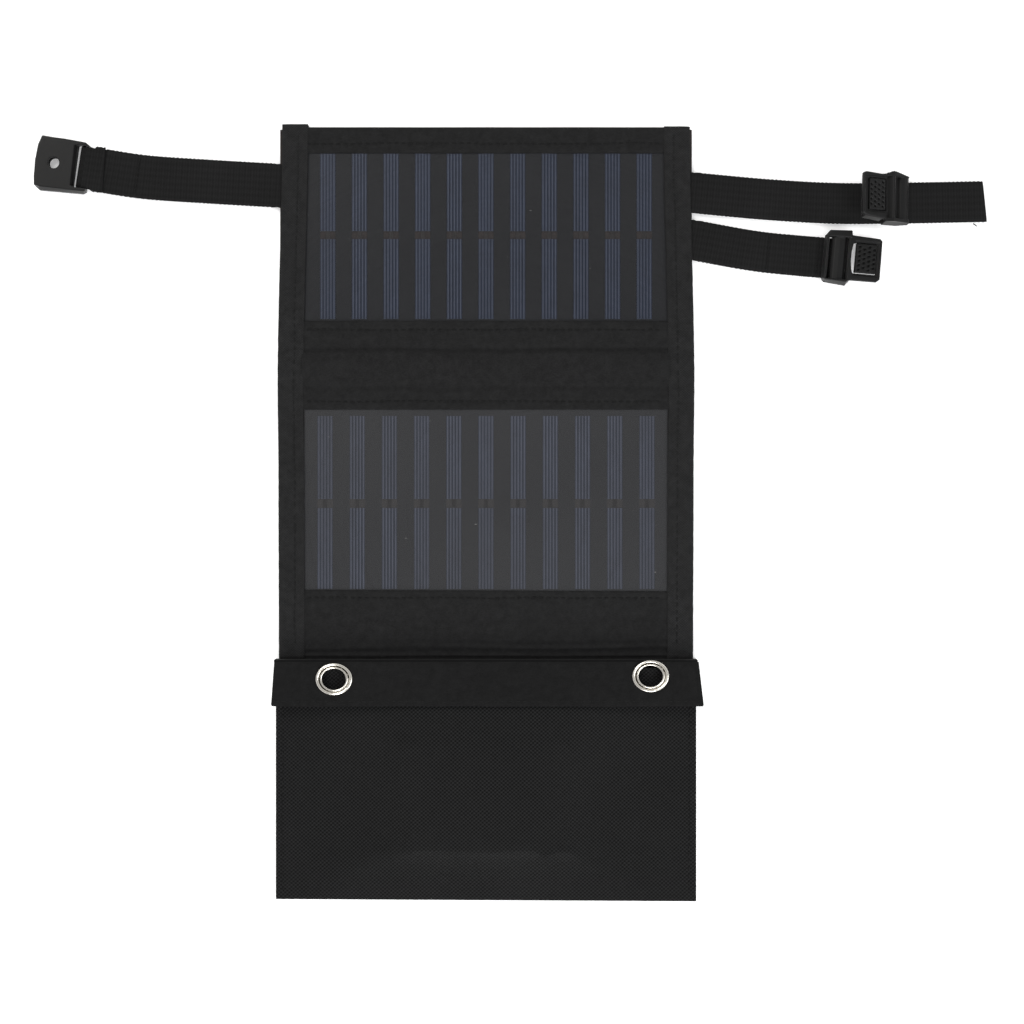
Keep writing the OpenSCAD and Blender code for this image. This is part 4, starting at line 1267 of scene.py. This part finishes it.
def make_stage():
    g = Graph("floor", "object")
    tone = g.mix(g.remap(g.noise(6, 3), 0.3, 0.7), (0.87, 0.87, 0.87), (0.89, 0.89, 0.89))
    g.finish(tone, 0.9, Emission_Color=(1, 1, 1, 1), Emission_Strength=0.3)
    mesh = bpy.data.meshes.new("floor")
    size = 4.0
    drop = -0.05 * MM
    mesh.from_pydata([(-size, -size, drop), (size, -size, drop), (size, size, drop), (-size, size, drop)], [],
                     [(0, 1, 2, 3)])
    mesh.materials.append(g.material)
    floor = bpy.data.objects.new("floor", mesh)
    bpy.context.scene.collection.objects.link(floor)


def area_light(name, place, size, power, target=(0, 0, 0), colour=(1, 1, 1)):
    data = bpy.data.lights.new(name, "AREA")
    data.shape = "DISK"
    data.size = size
    data.energy = power
    data.color = colour
    light = bpy.data.objects.new(name, data)
    light.location = place
    light.rotation_mode = "QUATERNION"
    light.rotation_quaternion = (Vector(target) - Vector(place)).to_track_quat("-Z", "Y")
    bpy.context.scene.collection.objects.link(light)


def make_light():
    world = bpy.data.worlds.new("studio")
    bpy.context.scene.world = world
    world.use_nodes = True
    tree = world.node_tree
    direction = tree.nodes.new("ShaderNodeTexCoord")
    split = tree.nodes.new("ShaderNodeSeparateXYZ")
    dome = tree.nodes.new("ShaderNodeMapRange")
    tree.links.new(direction.outputs["Generated"], split.inputs[0])
    tree.links.new(split.outputs["Z"], dome.inputs["Value"])
    for name, value in (("From Min", 0.1), ("From Max", 1.0), ("To Min", 1.1), ("To Max", 0.45)):
        dome.inputs[name].default_value = value
    tree.links.new(dome.outputs[0], tree.nodes["Background"].inputs["Strength"])
    tree.nodes["Background"].inputs["Color"].default_value = (1, 1, 1, 1)
    area_light("key", (-0.6, 0.8, 1.3), 0.9, 14, colour=(1.0, 0.985, 0.96))
    area_light("fill", (0.9, -0.6, 1.2), 0.9, 10, colour=(0.96, 0.98, 1.0))
    area_light("low", (0.1, -1.2, 0.7), 0.7, 11)
    bpy.context.scene.view_settings.view_transform = "Standard"


def make_camera():
    """Straight down over the middle of the whole object, as a copy stand sees it."""
    data = bpy.data.cameras.new("camera")
    height, half_view, centre = 0.9, 0.2048, (0.0104, -0.0018)
    data.sensor_width = 36
    data.lens = 18 * height / half_view
    data.clip_start, data.clip_end = 0.05, 20
    camera = bpy.data.objects.new("camera", data)
    camera.location = (*centre, height + FILM_TOP * MM)
    bpy.context.scene.collection.objects.link(camera)
    bpy.context.scene.camera = camera


make_camera()
make_light()
make_stage()
dress_cad_nodes()
make_bindings()
make_front_cloth()
make_back_cloth()
make_pocket()
make_pocket_back()
make_flap()
make_eyelets()
make_straps()
make_catch()
make_clips()
